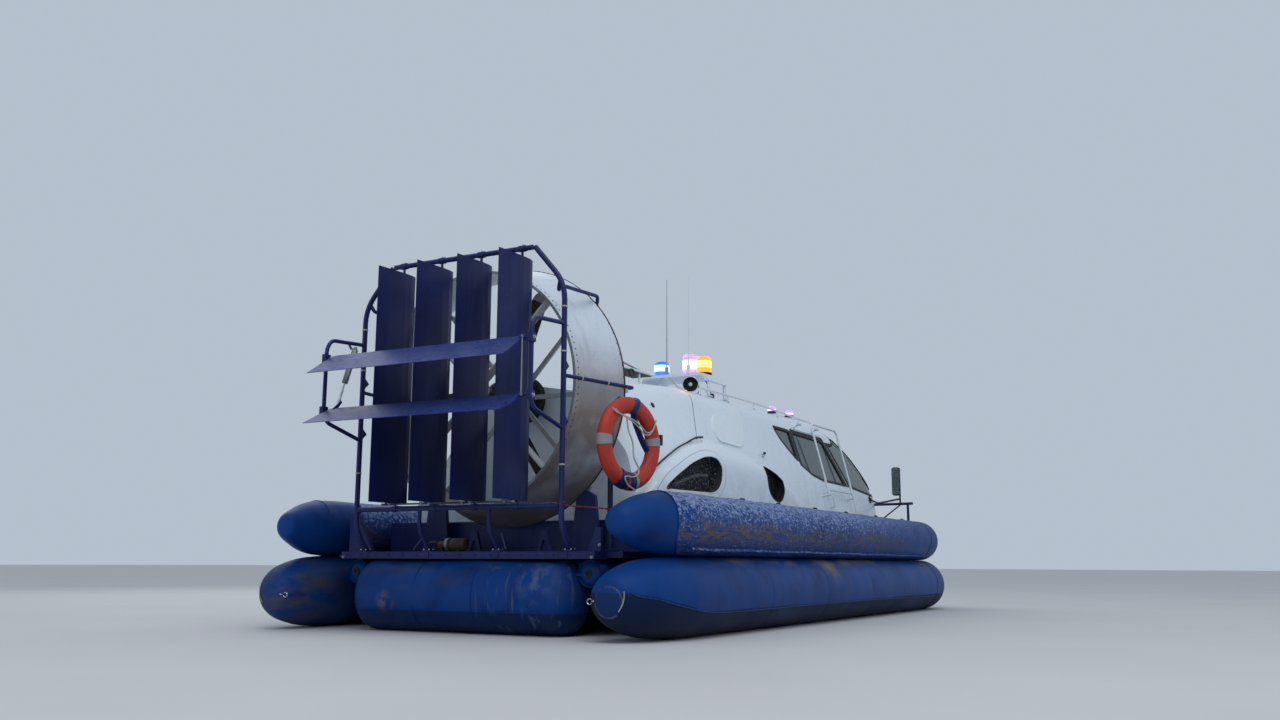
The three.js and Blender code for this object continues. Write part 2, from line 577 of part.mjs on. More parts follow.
function cabin() {
  const belowDeck = box([-5000, -3000, 0], [5000, 3000, DECK_Z + GAP]);
  const shell = cut(cabinForm(0), cabinForm(WALL), belowDeck);
  const pane = cut(cabinForm(10), cabinForm(20), belowDeck);
  const far = 3000;

  const doorTop = ROOF_SPLIT_Z - 10;
  const wayTop = ROOF_SPLIT_Z + 20;
  const doorOutline = [[1180, 1160], ...DOOR_FRONT, [2300, doorTop], [1180, doorTop]];
  const doorway = grow([[1180, 1160], ...DOOR_FRONT, [2275, wayTop], [1180, wayTop]], 6);

  for (const [side, s] of [['starboard', -1], ['port', 1]]) {
    const prism = (outline) => (s < 0 ? plate(outline, 'xz', -far, -300) : plate(outline, 'xz', 300, far));
    const half = s < 0
      ? box([CABIN_SEAM_X + 1, -far, 0], [NOSE_SEAM_X - 1, -300, ROOF_SPLIT_Z - 1])
      : box([CABIN_SEAM_X + 1, 300, 0], [NOSE_SEAM_X - 1, far, ROOF_SPLIT_Z - 1]);
    const hatch = common(cut(cabinForm(-HATCH_PROUD), cabinForm(5)), prism(HATCH));
    const wall = join(cut(common(shell, half), prism(doorway), prism(WINDOW_REAR), prism(WINDSCREEN)), hatch);
    add(`cabin_side_${side}`, wall, WHITE);
    add(`side_glass_${side}`, common(pane, prism(grow(WINDOW_REAR, -1))), GLASS);

    const door = cut(common(common(shell, prism(doorOutline)), half), prism(WINDOW_DOOR));
    add(`door_${side}`, join(door, ...doorLadder(s)), WHITE);
    add(`door_glass_${side}`, common(pane, prism(grow(WINDOW_DOOR, -1))), GLASS);
  }
  const screenBlock = plate(WINDSCREEN, 'xz', -far, far);
  const roofBlock = box([CABIN_SEAM_X + 1, -far, ROOF_SPLIT_Z], [2640, far, 3000]);
  const [hingeY, hingeZ] = DOOR_HINGE;
  const roofHinges = [-1, 1].flatMap((s) => [1360, 1960].flatMap((x) => [
    bar([x, s * 925, 2145], [x, s * hingeY, hingeZ], 9),
    bar([x - 22, s * hingeY, hingeZ], [x + 22, s * hingeY, hingeZ], 14, 10)]));
  add('cabin_roof', join(cut(common(shell, roofBlock), screenBlock), ...roofHinges), WHITE);
  add('windscreen', common(pane, plate(grow(WINDSCREEN, -1), 'xz', -far, far)), GLASS);
  const noseBlock = box([NOSE_SEAM_X, -far, 0], [5000, far, 3000]);
  add('cabin_nose', cut(common(shell, noseBlock), screenBlock), WHITE);

  const cowlBlock = box([-3000, -far, 0], [CABIN_SEAM_X - 1, far, 3000]);
  const bulkhead = common(cabinForm(0.5),
    box([CABIN_SEAM_X - 1 - WALL, -far, DECK_Z + GAP], [CABIN_SEAM_X - 1, far, 3000]));
  const bearing = turnedX([[-2755, 0], [-2755, 70], [-2700, 70], [-2700, 0]], 16, [0, 0, DUCT_Z]);
  add('engine_cowl', join(common(shell, cowlBlock), bulkhead, bearing), WHITE);
}

// The pipe ladder, handle and hinge arms that a door carries
function doorLadder(s) {
  const [hingeY, hingeZ] = DOOR_HINGE;
  const [rearX, frontX] = [1720, 2630];
  const pieces = bars([[rearX, s * 1236, 1380], [rearX, s * 1022, 2225], [frontX, s * 1022, 2225],
    [frontX, s * 1236, 1380]], 14);
  pieces.push(bar([rearX, s * 1223, 1430], [frontX, s * 1223, 1430], 12));
  for (const x of [rearX, frontX]) pieces.push(bar([x, s * 1240, 1385], [x - 25, s * 1140, 1355], 13));
  pieces.push(...bars([[1890, s * 1160, 1385], [1890, s * 1222, 1376], [1900, s * 1252, 1236],
    [1900, s * 1180, 1228]], 9));
  for (const x of [1310, 1910]) {
    pieces.push(bar([x, s * 932, 2106], [x, s * hingeY, hingeZ], 9));
    pieces.push(bar([x - 22, s * hingeY, hingeZ], [x + 26.5, s * hingeY, hingeZ], 14, 10));
  }
  return pieces;
}

// The side fairing over the lift fan, with an arched intake and a small oval one
const INTAKE = [[-2630, 1185], [-2600, 1225], [-2460, 1327], [-2235, 1437], [-1990, 1511], [-1861, 1525],
  [-1765, 1518], [-1695, 1483], [-1654, 1427], [-1648, 1363], [-1663, 1303], [-1714, 1242], [-1798, 1202],
  [-1894, 1185]];
const OVAL = [[-588, 1520], [-520, 1540], [-457, 1538], [-303, 1513], [-182, 1473], [-113, 1415],
  [-90, 1337], [-102, 1270], [-159, 1208], [-239, 1180], [-335, 1186], [-453, 1226], [-527, 1286],
  [-558, 1360], [-580, 1436]];
const FAIRING_ROOT_Y = 1000;
const GRILLE_Y = 1327;
const OVAL_FLOOR_Y = 1270;
const OVAL_BAR_Y = 1300;
const FAIRING = [
  { x: -2790, out: 1240, topOut: 1200, z: 1090, crest: 1180, root: 1050 },
  { x: -2560, out: 1350, topOut: 1270, z: 1300, crest: 1430, root: 1250 },
  { x: -2200, out: 1385, topOut: 1290, z: 1440, crest: 1590, root: 1470 },
  { x: -1850, out: 1395, topOut: 1290, z: 1520, crest: 1665, root: 1665 },
  { x: -1300, out: 1395, topOut: 1290, z: 1520, crest: 1650, root: 1800 },
  { x: -700, out: 1395, topOut: 1290, z: 1500, crest: 1600, root: 1750 },
  { x: -100, out: 1390, topOut: 1290, z: 1420, crest: 1520, root: 1670 },
  { x: 450, out: 1370, topOut: 1280, z: 1240, crest: 1360, root: 1480 },
  { x: 900, out: 1320, topOut: 1262, z: 1080, crest: 1160, root: 1240 },
];

function fairings() {
  const body = cabinForm(-0.6);
  for (const [side, s] of [['starboard', -1], ['port', 1]]) {
    const rows = FAIRING.map((row) => [
      [row.x, FAIRING_ROOT_Y, DECK_Z + GAP], [row.x, row.out, DECK_Z + GAP], [row.x, row.out, row.z],
      [row.x, row.topOut, row.crest], [row.x, FAIRING_ROOT_Y, row.root]]);
    const form = loft(rows);
    const prism = (outline, low, high) => plate(outline, 'xz', low, high);
    const ovalBars = [
      ...[-430, -250].map((x) => box([x, OVAL_BAR_Y, 1100], [x + 12, OVAL_BAR_Y + 12, 1600])),
      box([-700, OVAL_BAR_Y, 1350], [0, OVAL_BAR_Y + 12, 1362]),
    ];
    const pocketed = join(cut(form, prism(INTAKE, 1325, 1500), prism(OVAL, OVAL_FLOOR_Y, 1500)),
      common(join(...ovalBars), prism(grow(OVAL, 4), OVAL_FLOOR_Y, 1360)));
    const piece = cut(s < 0 ? mirrored(pocketed) : pocketed, body);
    add(`fairing_${side}`, piece, WHITE);

    const wires = [];
    for (let x = -2500; x < -1400; x += 130) {
      wires.push(box([x, GRILLE_Y, 1100], [x + 14, GRILLE_Y + 10, 1600]));
    }
    for (let z = 1240; z < 1600; z += 110) {
      wires.push(box([-2700, GRILLE_Y, z], [-1300, GRILLE_Y + 10, z + 14]));
    }
    const rim = cut(prism(INTAKE, GRILLE_Y - 1, GRILLE_Y + 13), prism(shrunk(INTAKE, 0.93), 1300, 1400));
    let grille = join(common(join(...wires), prism(shrunk(INTAKE, 0.97), 1320, 1345)),
      common(rim, prism(shrunk(INTAKE, 0.995), 1320, 1345)));
    if (s < 0) grille = mirrored(grille);
    add(`intake_grille_${side}`, grille, BLACK);
  }
}

// An outline with each edge moved outwards by a distance
function grow(outline, distance) {
  const area = outline.reduce((sum, [a, b], i) => {
    const [c, d] = outline[(i + 1) % outline.length];
    return sum + a * d - b * c;
  }, 0);
  const edges = outline.map(([a, b], i) => {
    const [c, d] = outline[(i + 1) % outline.length];
    const length = Math.hypot(c - a, d - b);
    const normal = [((d - b) / length) * Math.sign(area), (-(c - a) / length) * Math.sign(area)];
    return { normal, reach: a * normal[0] + b * normal[1] + distance };
  });
  return edges.map((edge, i) => {
    const before = edges[(i + edges.length - 1) % edges.length];
    const cross = before.normal[0] * edge.normal[1] - before.normal[1] * edge.normal[0];
    return [
      (before.reach * edge.normal[1] - edge.reach * before.normal[1]) / cross,
      (edge.reach * before.normal[0] - before.reach * edge.normal[0]) / cross,
    ];
  });
}

// An outline drawn towards its middle
function shrunk(outline, scale) {
  const [a, b] = outline.reduce((sum, point) => [sum[0] + point[0], sum[1] + point[1]], [0, 0])
    .map((value) => value / outline.length);
  return outline.map((point) => [a + (point[0] - a) * scale, b + (point[1] - b) * scale]);
}

function mirrored(geometry) {
  const flipped = bare(geometry);
  flipped.scale(1, -1, 1);
  const index = flipped.index;
  for (let i = 0; i < index.count; i += 3) {
    const first = index.getX(i);
    index.setX(i, index.getX(i + 1));
    index.setX(i + 1, first);
  }
  return flipped;
}

function interior() {
  const pieces = [box([600, -900, DECK_Z + GAP], [2700, 900, DECK_Z + 25])];
  for (const [x, low, high] of [[1900, -820, -280], [1900, 280, 820], [850, -850, 850]]) {
    pieces.push(box([x, low, DECK_Z + 20], [x + 480, high, 1290]));
    pieces.push(plate([[x, 1280], [x + 110, 1280], [x - 20, 1820], [x - 110, 1820]], 'xz', low, high));
  }
  add('seats', join(...pieces), SEAT);
  const hub = [2800, -550, 1480];
  const rake = 0.5;
  const wheel = new THREE.TorusGeometry(170, 14, 6, 14).rotateY(Math.PI / 2 - rake).translate(...hub);
  const spokes = [0, 90].map((degrees) => new THREE.BoxGeometry(20, 320, 20)
    .rotateX(THREE.MathUtils.degToRad(degrees)).rotateY(-rake).translate(...hub));
  const column = bar(hub, [3000, -550, 1390], 25);
  const dash = plate([[2960, 1180], [3400, 1180], [3400, 1370], [3040, 1420], [2960, 1340]], 'xz', -950, 950);
  const stem = box([3100, -400, DECK_Z + GAP], [3350, 400, 1200]);
  add('console', join(dash, stem, column, wheel, ...spokes), BLACK);
  add('engine_block', box([-2450, -330, DECK_Z + GAP], [-1750, 330, 1620]), IRON);
}

function roofFittings() {
  const crownAt = (x, y) => {
    const i = CABIN.findIndex((row) => row.x > x);
    const [a, b] = [CABIN[i - 1], CABIN[i]];
    const t = (x - a.x) / (b.x - a.x);
    const mix = (key) => a[key] + (b[key] - a[key]) * t;
    const kneeY = mix('roof') - 130;
    const kneeZ = mix('roofZ') + (mix('crown') - mix('roofZ')) * 0.6;
    return Math.abs(y) < kneeY
      ? mix('crown') + (kneeZ - mix('crown')) * (Math.abs(y) / kneeY)
      : kneeZ + (mix('roofZ') - kneeZ) * ((Math.abs(y) - kneeY) / 130);
  };
  const [left, right] = BRIDGE_SPAN;
  // Half of the arched outline: how far in from its end, and how far below its top
  const arch = [[0, 95], [45, 95], [75, 45], [140, 30]];
  const topArch = [[110, 0], [30, 25]];
  const bridgeOutline = [
    ...arch.map(([inwards, down]) => [left + inwards, BRIDGE_TOP - down]),
    ...arch.toReversed().map(([inwards, down]) => [right - inwards, BRIDGE_TOP - down]),
    ...topArch.toReversed().map(([inwards, down]) => [right - inwards, BRIDGE_TOP - down]),
    ...topArch.map(([inwards, down]) => [left + inwards, BRIDGE_TOP - down]),
  ];
  const legRows = [-1, 1].flatMap((dx) => [left + 22, right - 22].map((y) => [BRIDGE_X + dx * 200, y]));
  const legs = legRows.map(([x, y]) =>
    bar([x, y, crownAt(x, Math.abs(y) + 25) + 14], [x, y, BRIDGE_TOP - 80], 18));
  const pads = legRows.map(([x, y]) => {
    const z = crownAt(x + 40, y < -400 ? y + 30 : 0) + 3;
    return box([x - 40, y - 30, z], [x + 40, y + 30, z + 14]);
  });
  const top = plate(bridgeOutline, 'yz', BRIDGE_X - 240, BRIDGE_X + 240);
  add('roof_bridge', join(top, ...legs, ...pads), WHITE);
  const beacons = [
    { name: 'beacon_blue', x: -370, y: -90, r: 84, h: 190, colour: 0x1d63d8 },
    { name: 'beacon_violet', x: -255, y: -385, r: 88, h: 265, colour: 0x9a6cf0 },
    { name: 'beacon_orange', x: -410, y: -618, r: 80, h: 195, colour: 0xf08a18 },
  ];
  for (const { name, x, y, r, h, colour } of beacons) {
    const profile = [[0, 0], [0, r + 6], [18, r + 6], [18, r], [h - 22, r], [h - 6, r * 0.8], [h, 0]];
    const lamp = turnedX(profile, 14, [0, 0, 0]).rotateY(-Math.PI / 2).translate(x, y, BRIDGE_TOP + GAP);
    add(name, lamp, material(colour, 0.2));
  }
  const aerials = [['aerial_outer', -540, -500, 3590], ['aerial_inner', -540, -240, 3600]];
  for (const [name, x, y, top] of aerials) {
    const whip = join(bar([x, y, BRIDGE_TOP + GAP], [x, y, BRIDGE_TOP + 90], 18),
      bar([x, y, BRIDGE_TOP + 70], [x, y, top], 6, 6, 3));
    add(name, whip, CHROME);
  }
  const [lampX, lampY, lampZ] = [-690, -600, 2388];
  const lamp = bar([lampX - 95, lampY - 40, lampZ], [lampX + 60, lampY + 25, lampZ], 85, 14);
  const lampPost = bar([lampX, lampY, crownAt(lampX, lampY) + 6], [lampX, lampY, lampZ], 14);
  add('searchlight', join(lamp, lampPost), CHROME);

  const railPieces = [-1, 1].flatMap((s) => {
    const y = s * RAIL_Y;
    const points = [[-900, 4], [-900, 70], [500, 70], [1900, 70], [2350, 70], [2350, 4]];
    const line = bars(points.map(([x, up]) => [x, y, crownAt(x, RAIL_Y) + up]), 11);
    const post = bar([500, y, crownAt(500, RAIL_Y) + 4], [500, y, crownAt(500, RAIL_Y) + 70], 9);
    return [...line, post];
  });
  const lightZ = crownAt(LAMP_ROW_X, 0);
  const railZ = crownAt(LAMP_ROW_X, RAIL_Y) + 70;
  const rise = LAMP_ROW.map(([y, up]) => [LAMP_ROW_X, -y, lightZ + up]);
  const fall = rise.toReversed().map(([x, y, z]) => [x, -y, z]);
  const lightBar = bars([[LAMP_ROW_X, -RAIL_Y, railZ], ...rise, ...fall, [LAMP_ROW_X, RAIL_Y, railZ]], 14);
  const lamps = [...rise, ...fall].map(([x, y, z]) => bar([x, y, z + 4], [x, y, z + 98], 60, 12));
  add('roof_rails', join(...railPieces, ...lightBar, ...lamps), WHITE);
  const tray = box([-1750, -130, 2520], [-640, 130, 2556]);
  const trayLegs = [-1, 1].flatMap((s) => [-1600, -900].map((x) =>
    bar([x, s * 100, crownAt(x, 80) + 8], [x, s * 100, 2530], 14)));
  add('mast_tray', join(tray, ...trayLegs), GREY);
}

const BOW_RAIL_Z = 1370;

function deckFittings() {
  for (const [side, s] of [['starboard', -1], ['port', 1]]) {
    const glass = box([3980, s * 1388 - 57, 1472], [4020, s * 1388 + 57, 1862]);
    const arm = bars([[3560, s * 1167, 1405], [3750, s * 1205, 1365], [4000, s * 1437, 1432]], 12);
    const post = bar([4000, s * 1437, 1350], [4000, s * 1437, 1500], 12);
    const strut = bar([3535, s * 1224, 1072], [4000, s * 1437, 1350], 9);
    add(`mirror_${side}`, join(glass, ...arm, post, strut), BLACK);
  }
  const postRows = [[4070, -1520], [4270, -520], [4270, 520], [4070, 1520]];
  const railLine = [[4040, -1590], ...postRows, [4040, 1590]].map(([x, y]) => [x, y, BOW_RAIL_Z]);
  const rail = bars(railLine, 18);
  for (const [x, y] of postRows) rail.push(bar([x, y, 1116], [x, y, BOW_RAIL_Z], 18));
  add('bow_rail', join(...rail), NAVY);

  const ringX = -3480;
  const ringY = -1400;
  const buoy = new THREE.TorusGeometry(300, 68, 10, 22).scale(1, 1, 0.8).rotateX(Math.PI / 2);
  buoy.rotateZ(THREE.MathUtils.degToRad(-10)).translate(ringX, ringY - 20, 1490);
  add('lifebuoy', buoy, RED);
  const stand = bars([[ringX, -1260, LEDGE_Z + GAP], [ringX, -1260, 1800], [ringX, -1340, 1860]], 16);
  const arms = [1250, 1760].map((z) => bar([ringX, -1262, z], [ringX, -1330, z], 12));
  add('lifebuoy_bracket', join(...stand, ...arms), NAVY);
}

skirtTubes();
sternTubes();
hull();
duct();
propeller();
rudderFrame();
rudders();
vanes();
actuator();
cabin();
fairings();
interior();
roofFittings();
deckFittings();

export default hovercraft;
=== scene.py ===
"""Looks of a small cabin hovercraft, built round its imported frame. Metres, bow +X, port +Y, up +Z."""
from math import cos, pi, radians, sin, sqrt

import bmesh
import bpy
from mathutils import Matrix, Vector


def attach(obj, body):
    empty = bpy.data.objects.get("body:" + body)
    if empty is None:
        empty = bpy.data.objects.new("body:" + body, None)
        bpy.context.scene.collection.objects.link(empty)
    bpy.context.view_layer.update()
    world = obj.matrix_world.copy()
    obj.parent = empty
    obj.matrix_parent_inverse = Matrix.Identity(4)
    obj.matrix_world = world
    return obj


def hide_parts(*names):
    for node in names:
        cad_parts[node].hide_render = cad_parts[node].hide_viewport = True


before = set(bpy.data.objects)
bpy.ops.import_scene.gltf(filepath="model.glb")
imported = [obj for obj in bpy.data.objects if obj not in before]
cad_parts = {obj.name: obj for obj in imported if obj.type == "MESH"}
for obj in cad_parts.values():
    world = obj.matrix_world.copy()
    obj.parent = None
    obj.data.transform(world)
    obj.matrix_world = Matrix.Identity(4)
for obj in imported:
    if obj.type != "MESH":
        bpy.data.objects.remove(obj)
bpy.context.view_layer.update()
scene = bpy.context.scene

SIDES = (("starboard", -1), ("port", 1))
UP = Vector((0, 0, 1))
AHEAD, ASTERN, PORT = (1, 0, 0), (-1, 0, 0), (0, 1, 0)
LOW_Z, UP_Z = 0.3075, 0.8634  # heights of the lower and the upper tubes' middle lines
DUCT_Z = 2.0
LEDGE_Z = 0.6505
DECK_Z = 0.9205
THIN = 0.002


# Camera of the photo: low behind the starboard quarter, tipped up

CAMERA_PLACE = (-11.34, -5.8, 0.56)
CAMERA_LENS = 32.29
HEADING, PITCH, ROLL = 28.6, 10.05, 0.25


def add_camera():
    heading, pitch, roll = radians(HEADING), radians(PITCH), radians(ROLL)
    ahead = Vector((cos(heading), sin(heading), 0))
    right = Vector((sin(heading), -cos(heading), 0))
    forward = ahead * cos(pitch) + Vector((0, 0, sin(pitch)))
    above = Vector((0, 0, cos(pitch))) - ahead * sin(pitch)
    x = right * cos(roll) + above * sin(roll)
    y = above * cos(roll) - right * sin(roll)
    data = bpy.data.cameras.new("camera")
    data.lens = CAMERA_LENS
    data.clip_end = 500
    camera = bpy.data.objects.new("camera", data)
    scene.collection.objects.link(camera)
    turn = Matrix((x, y, -forward)).transposed().to_4x4()
    camera.matrix_world = Matrix.Translation(CAMERA_PLACE) @ turn
    scene.camera = camera


add_camera()


# Procedural finishes

class Finish:
    """A principled material whose colour, roughness and bump come from layered masks."""

    def __init__(self, name, colour, rough, metal=0.0, **sockets):
        self.material = bpy.data.materials.new(name)
        self.material.use_nodes = True
        self.tree = self.material.node_tree
        self.shader = self.tree.nodes["Principled BSDF"]
        self.shader.inputs["Metallic"].default_value = metal
        for key, value in sockets.items():
            self.shader.inputs[key.replace("_", " ")].default_value = value
        self.where = self.node("ShaderNodeTexCoord").outputs["Object"]
        self.colour = (*colour, 1)
        self.rough = rough

    def node(self, kind, **settings):
        made = self.tree.nodes.new(kind)
        for key, value in settings.items():
            setattr(made, key, value)
        return made

    def feed(self, socket, value):
        if isinstance(value, bpy.types.NodeSocket):
            self.tree.links.new(value, socket)
        else:
            socket.default_value = value

    def math(self, operation, a, b=0.0):
        made = self.node("ShaderNodeMath", operation=operation)
        self.feed(made.inputs[0], a)
        self.feed(made.inputs[1], b)
        return made.outputs[0]

    def both(self, *masks):
        product = masks[0]
        for mask in masks[1:]:
            product = self.math("MULTIPLY", product, mask)
        return product

    def noise(self, scale, detail=4.0, stretch=(1, 1, 1), turn=(0, 0, 0)):
        place = self.node("ShaderNodeMapping")
        place.inputs["Scale"].default_value = stretch
        place.inputs["Rotation"].default_value = turn
        self.feed(place.inputs["Vector"], self.where)
        made = self.node("ShaderNodeTexNoise")
        made.inputs["Scale"].default_value = scale
        made.inputs["Detail"].default_value = detail
        self.feed(made.inputs["Vector"], place.outputs[0])
        return made.outputs["Fac"]

    def step(self, value, low, high):
        made = self.node("ShaderNodeMapRange")
        self.feed(made.inputs["Value"], value)
        made.inputs["From Min"].default_value = low
        made.inputs["From Max"].default_value = high
        return made.outputs["Result"]

    def axis(self, name):
        split = self.node("ShaderNodeSeparateXYZ")
        self.feed(split.inputs[0], self.where)
        return split.outputs[name]

    def facing_up(self, low, high):
        split = self.node("ShaderNodeSeparateXYZ")
        self.feed(split.inputs[0], self.node("ShaderNodeNewGeometry").outputs["Normal"])
        return self.step(split.outputs["Z"], low, high)

    def span(self, axis, low, high):
        return self.step(self.axis(axis), low, high)

    def patches(self, low, high, *noise):
        return self.step(self.noise(*noise), low, high)

    def near(self, point, inner, outer):
        """One within the inner distance of a point, and nothing past the outer one."""
        made = self.node("ShaderNodeVectorMath", operation="DISTANCE")
        self.feed(made.inputs[0], self.where)
        made.inputs[1].default_value = point
        return self.step(made.outputs["Value"], outer, inner)

    def layer(self, mask, colour, rough=None):
        made = self.node("ShaderNodeMix", data_type="RGBA")
        self.feed(made.inputs["Factor"], mask)
        self.feed(made.inputs[6], self.colour)
        made.inputs[7].default_value = (*colour, 1)
        self.colour = made.outputs[2]
        if rough is not None:
            made = self.node("ShaderNodeMix", data_type="FLOAT")
            self.feed(made.inputs["Factor"], mask)
            self.feed(made.inputs[2], self.rough)
            made.inputs[3].default_value = rough
            self.rough = made.outputs[0]
        return self

    def bump(self, height, distance, strength=1.0):
        made = self.node("ShaderNodeBump")
        made.inputs["Strength"].default_value = strength
        made.inputs["Distance"].default_value = distance
        self.feed(made.inputs["Height"], height)
        if self.shader.inputs["Normal"].is_linked:
            self.feed(made.inputs["Normal"], self.shader.inputs["Normal"].links[0].from_socket)
        self.feed(self.shader.inputs["Normal"], made.outputs[0])
        return self

    def done(self):
        self.feed(self.shader.inputs["Base Color"], self.colour)
        self.feed(self.shader.inputs["Roughness"], self.rough)
        return self.material


def fabric(name):
    """Coated blue cloth with brighter and darker patches."""
    f = Finish(name, (0.0035, 0.04, 0.185), 0.46, Specular_IOR_Level=0.12)
    f.layer(f.patches(0.38, 0.68, 1.0), (0.006, 0.058, 0.26))
    f.layer(f.patches(0.5, 0.78, 3.6, 6), (0.002, 0.02, 0.115))
    f.bump(f.noise(2.4, 3), 0.02, 0.35)
    f.bump(f.noise(240, 2), 0.0006, 0.6)
    return f


def upper_skirt():
    """The upper tubes: frost on top, brown dirt along the side, both ahead of the tail's slanted seam."""
    f = fabric("skirt_up")
    rise = f.both(f.math("SUBTRACT", f.axis("Z"), UP_Z), 4.0)
    fall = f.both(rise, -1.0)
    above, below = (f.both(f.math("POWER", f.math("MAXIMUM", side, 0.0), power), lean)
                    for side, power, lean in ((rise, 2.0, 0.07), (fall, 4.0, 0.24)))
    ahead = f.math("SUBTRACT", f.math("SUBTRACT", f.axis("X"), above), below)
    starboard = f.span("Y", 0.1, -0.1)
    clear = f.both(f.step(ahead, -3.67, -3.655), f.math("MAXIMUM", starboard, f.span("X", -3.3, -3.1)))
    fading = f.span("X", 3.6, 0.6)
    flakes = f.math("MAXIMUM", f.noise(38, 3, (1, 1, 0.45), (0.5, 0.4, 0)),
                    f.noise(55, 2, (0.4, 1, 1), (0, 0.6, 0)))
    amount = f.both(flakes, 0.8)
    for cause, share in ((f.facing_up(-0.25, 0.75), 0.13), (fading, 0.05)):
        amount = f.math("ADD", amount, f.both(cause, share))
    frost = f.both(f.step(amount, 0.545, 0.66), clear, f.math("ADD", f.both(fading, 0.7), 0.12))
    f.layer(frost, (0.3, 0.36, 0.56), 0.85)
    patch = f.both(f.patches(0.33, 0.52, 2.2, 5, (0.4, 1, 2.4)), f.patches(0.38, 0.6, 30, 5, (0.25, 1, 1.4)))
    band = f.both(f.span("Z", 0.92, 0.87), f.span("Z", 0.7, 0.76), patch, clear, f.span("X", 3.2, 1.0), 0.9)
    f.layer(band, (0.135, 0.112, 0.1), 0.85)
    low = f.both(f.span("Z", 0.72, 0.69), f.patches(0.52, 0.64, 30, 3, (0.5, 1, 1)), clear, 0.5)
    f.layer(low, (0.13, 0.135, 0.18), 0.85)
    return f.done()


def lower_skirt():
    """The lower tubes: a dull strip under the stitched seam, dust streaks and mud near the ground."""
    f = fabric("skirt_low")
    slope = f.both(f.span("X", -3.4, -4.13), -0.15)
    line = f.math("ADD", f.axis("Z"), slope)
    where = f.math("MAXIMUM", f.span("Y", 0.1, -0.1), f.span("X", -3.4, -3.2))
    f.layer(f.both(f.step(line, 0.21, 0.196), where, 0.92), (0.005, 0.0135, 0.04), 0.6)
    mud = f.both(f.span("Z", 0.2, 0.0), f.patches(0.42, 0.7, 3.5, 7, (0.5, 1, 1)), 0.7)
    f.layer(mud, (0.062, 0.056, 0.05), 0.8)
    haze = f.both(f.patches(0.56, 0.72, 3.2, 8, (0.4, 1, 0.7)), f.span("X", -3.9, -2.6), 0.35)
    f.layer(haze, (0.06, 0.095, 0.2), 0.7)
    ahead = f.span("X", -3.3, -2.0)
    streaks = f.both(f.facing_up(0.0, 0.8), f.patches(0.5, 0.72, 22, 6, (1.6, 1, 0.12)), ahead, 0.4)
    f.layer(streaks, (0.14, 0.18, 0.32), 0.8)
    crest = f.both(f.span("Z", 0.53, 0.57), f.patches(0.5, 0.62, 3.1, 5, (0.5, 1, 1)), ahead, 0.8)
    f.layer(crest, (0.17, 0.155, 0.13), 0.85)
    tan = f.both(f.near((-0.4, -1.91, 0.565), 0.02, 0.28), f.patches(0.36, 0.55, 9, 5))
    f.layer(tan, (0.22, 0.19, 0.13), 0.9)
    smear = f.both(f.near((-3.95, 1.46, 0.26), 0.1, 0.62), f.patches(0.36, 0.58, 6, 6, (0.5, 1, 1.6)), 0.8)
    f.layer(smear, (0.095, 0.082, 0.07), 0.85)
    disc = (-4.183, -1.647, 0.288)
    f.layer(f.both(f.near(disc, 0.106, 0.11), 0.5), (0.01, 0.048, 0.185), 0.5)
    rim = f.both(f.near(disc, 0.112, 0.12), f.math("SUBTRACT", 1.0, f.near(disc, 0.104, 0.108)),
                 f.patches(0.42, 0.6, 16, 3), 0.7)
    f.layer(rim, (0.15, 0.15, 0.17), 0.85)
    return f.done()


def stern_cloth():
    f = fabric("skirt_stern")
    f.layer(f.both(f.span("Z", 0.19, 0.17), 0.75), (0.002, 0.014, 0.06), 0.55)
    f.layer(f.both(f.span("Z", 0.2, 0.0), f.patches(0.45, 0.75, 5, 7), 0.6), (0.05, 0.05, 0.05), 0.8)
    haze = f.both(f.patches(0.42, 0.66, 3.2, 5, (1, 0.8, 1.3)), f.span("Z", 0.2, 0.35), 0.55)
    f.layer(haze, (0.034, 0.058, 0.145), 0.65)
    creases = f.patches(0.6, 0.66, 16, 4, (1, 1.2, 0.12), (0.6, 0, 0))
    creases = f.both(creases, f.span("Y", 0.0, -0.6), 0.5)
    f.layer(creases, (0.09, 0.12, 0.22), 0.7)
    brown = f.both(f.near((-3.88, 0.645, 0.25), 0.02, 0.11), f.patches(0.38, 0.55, 14, 4), 0.6)
    f.layer(brown, (0.22, 0.15, 0.12), 0.8)
    pale = f.both(f.near((-3.8, -0.8, 0.4), 0.02, 0.2), f.patches(0.45, 0.6, 11, 5), 0.7)
    f.layer(pale, (0.14, 0.16, 0.26), 0.8)
    return f.done()


def paint_finish(name, colour, light, rough=0.42, frost=0.35):
    f = Finish(name, colour, rough, Specular_IOR_Level=0.3)
    f.layer(f.patches(0.4, 0.75, 2.0, 5), light)
    f.layer(f.both(f.patches(0.52, 0.75, 14, 8, (1, 1, 0.12)), 0.5), tuple(c * 0.4 for c in colour), 0.6)
    top = f.both(f.facing_up(0.35, 0.95), f.patches(0.44, 0.62, 55, 4))
    f.layer(f.both(top, frost), (0.42, 0.47, 0.62), 0.8)
    f.layer(f.patches(0.73, 0.76, 90, 3), (0.2, 0.22, 0.3), 0.7)
    f.bump(f.noise(70, 3), 0.0012, 0.4)
    return f.done()


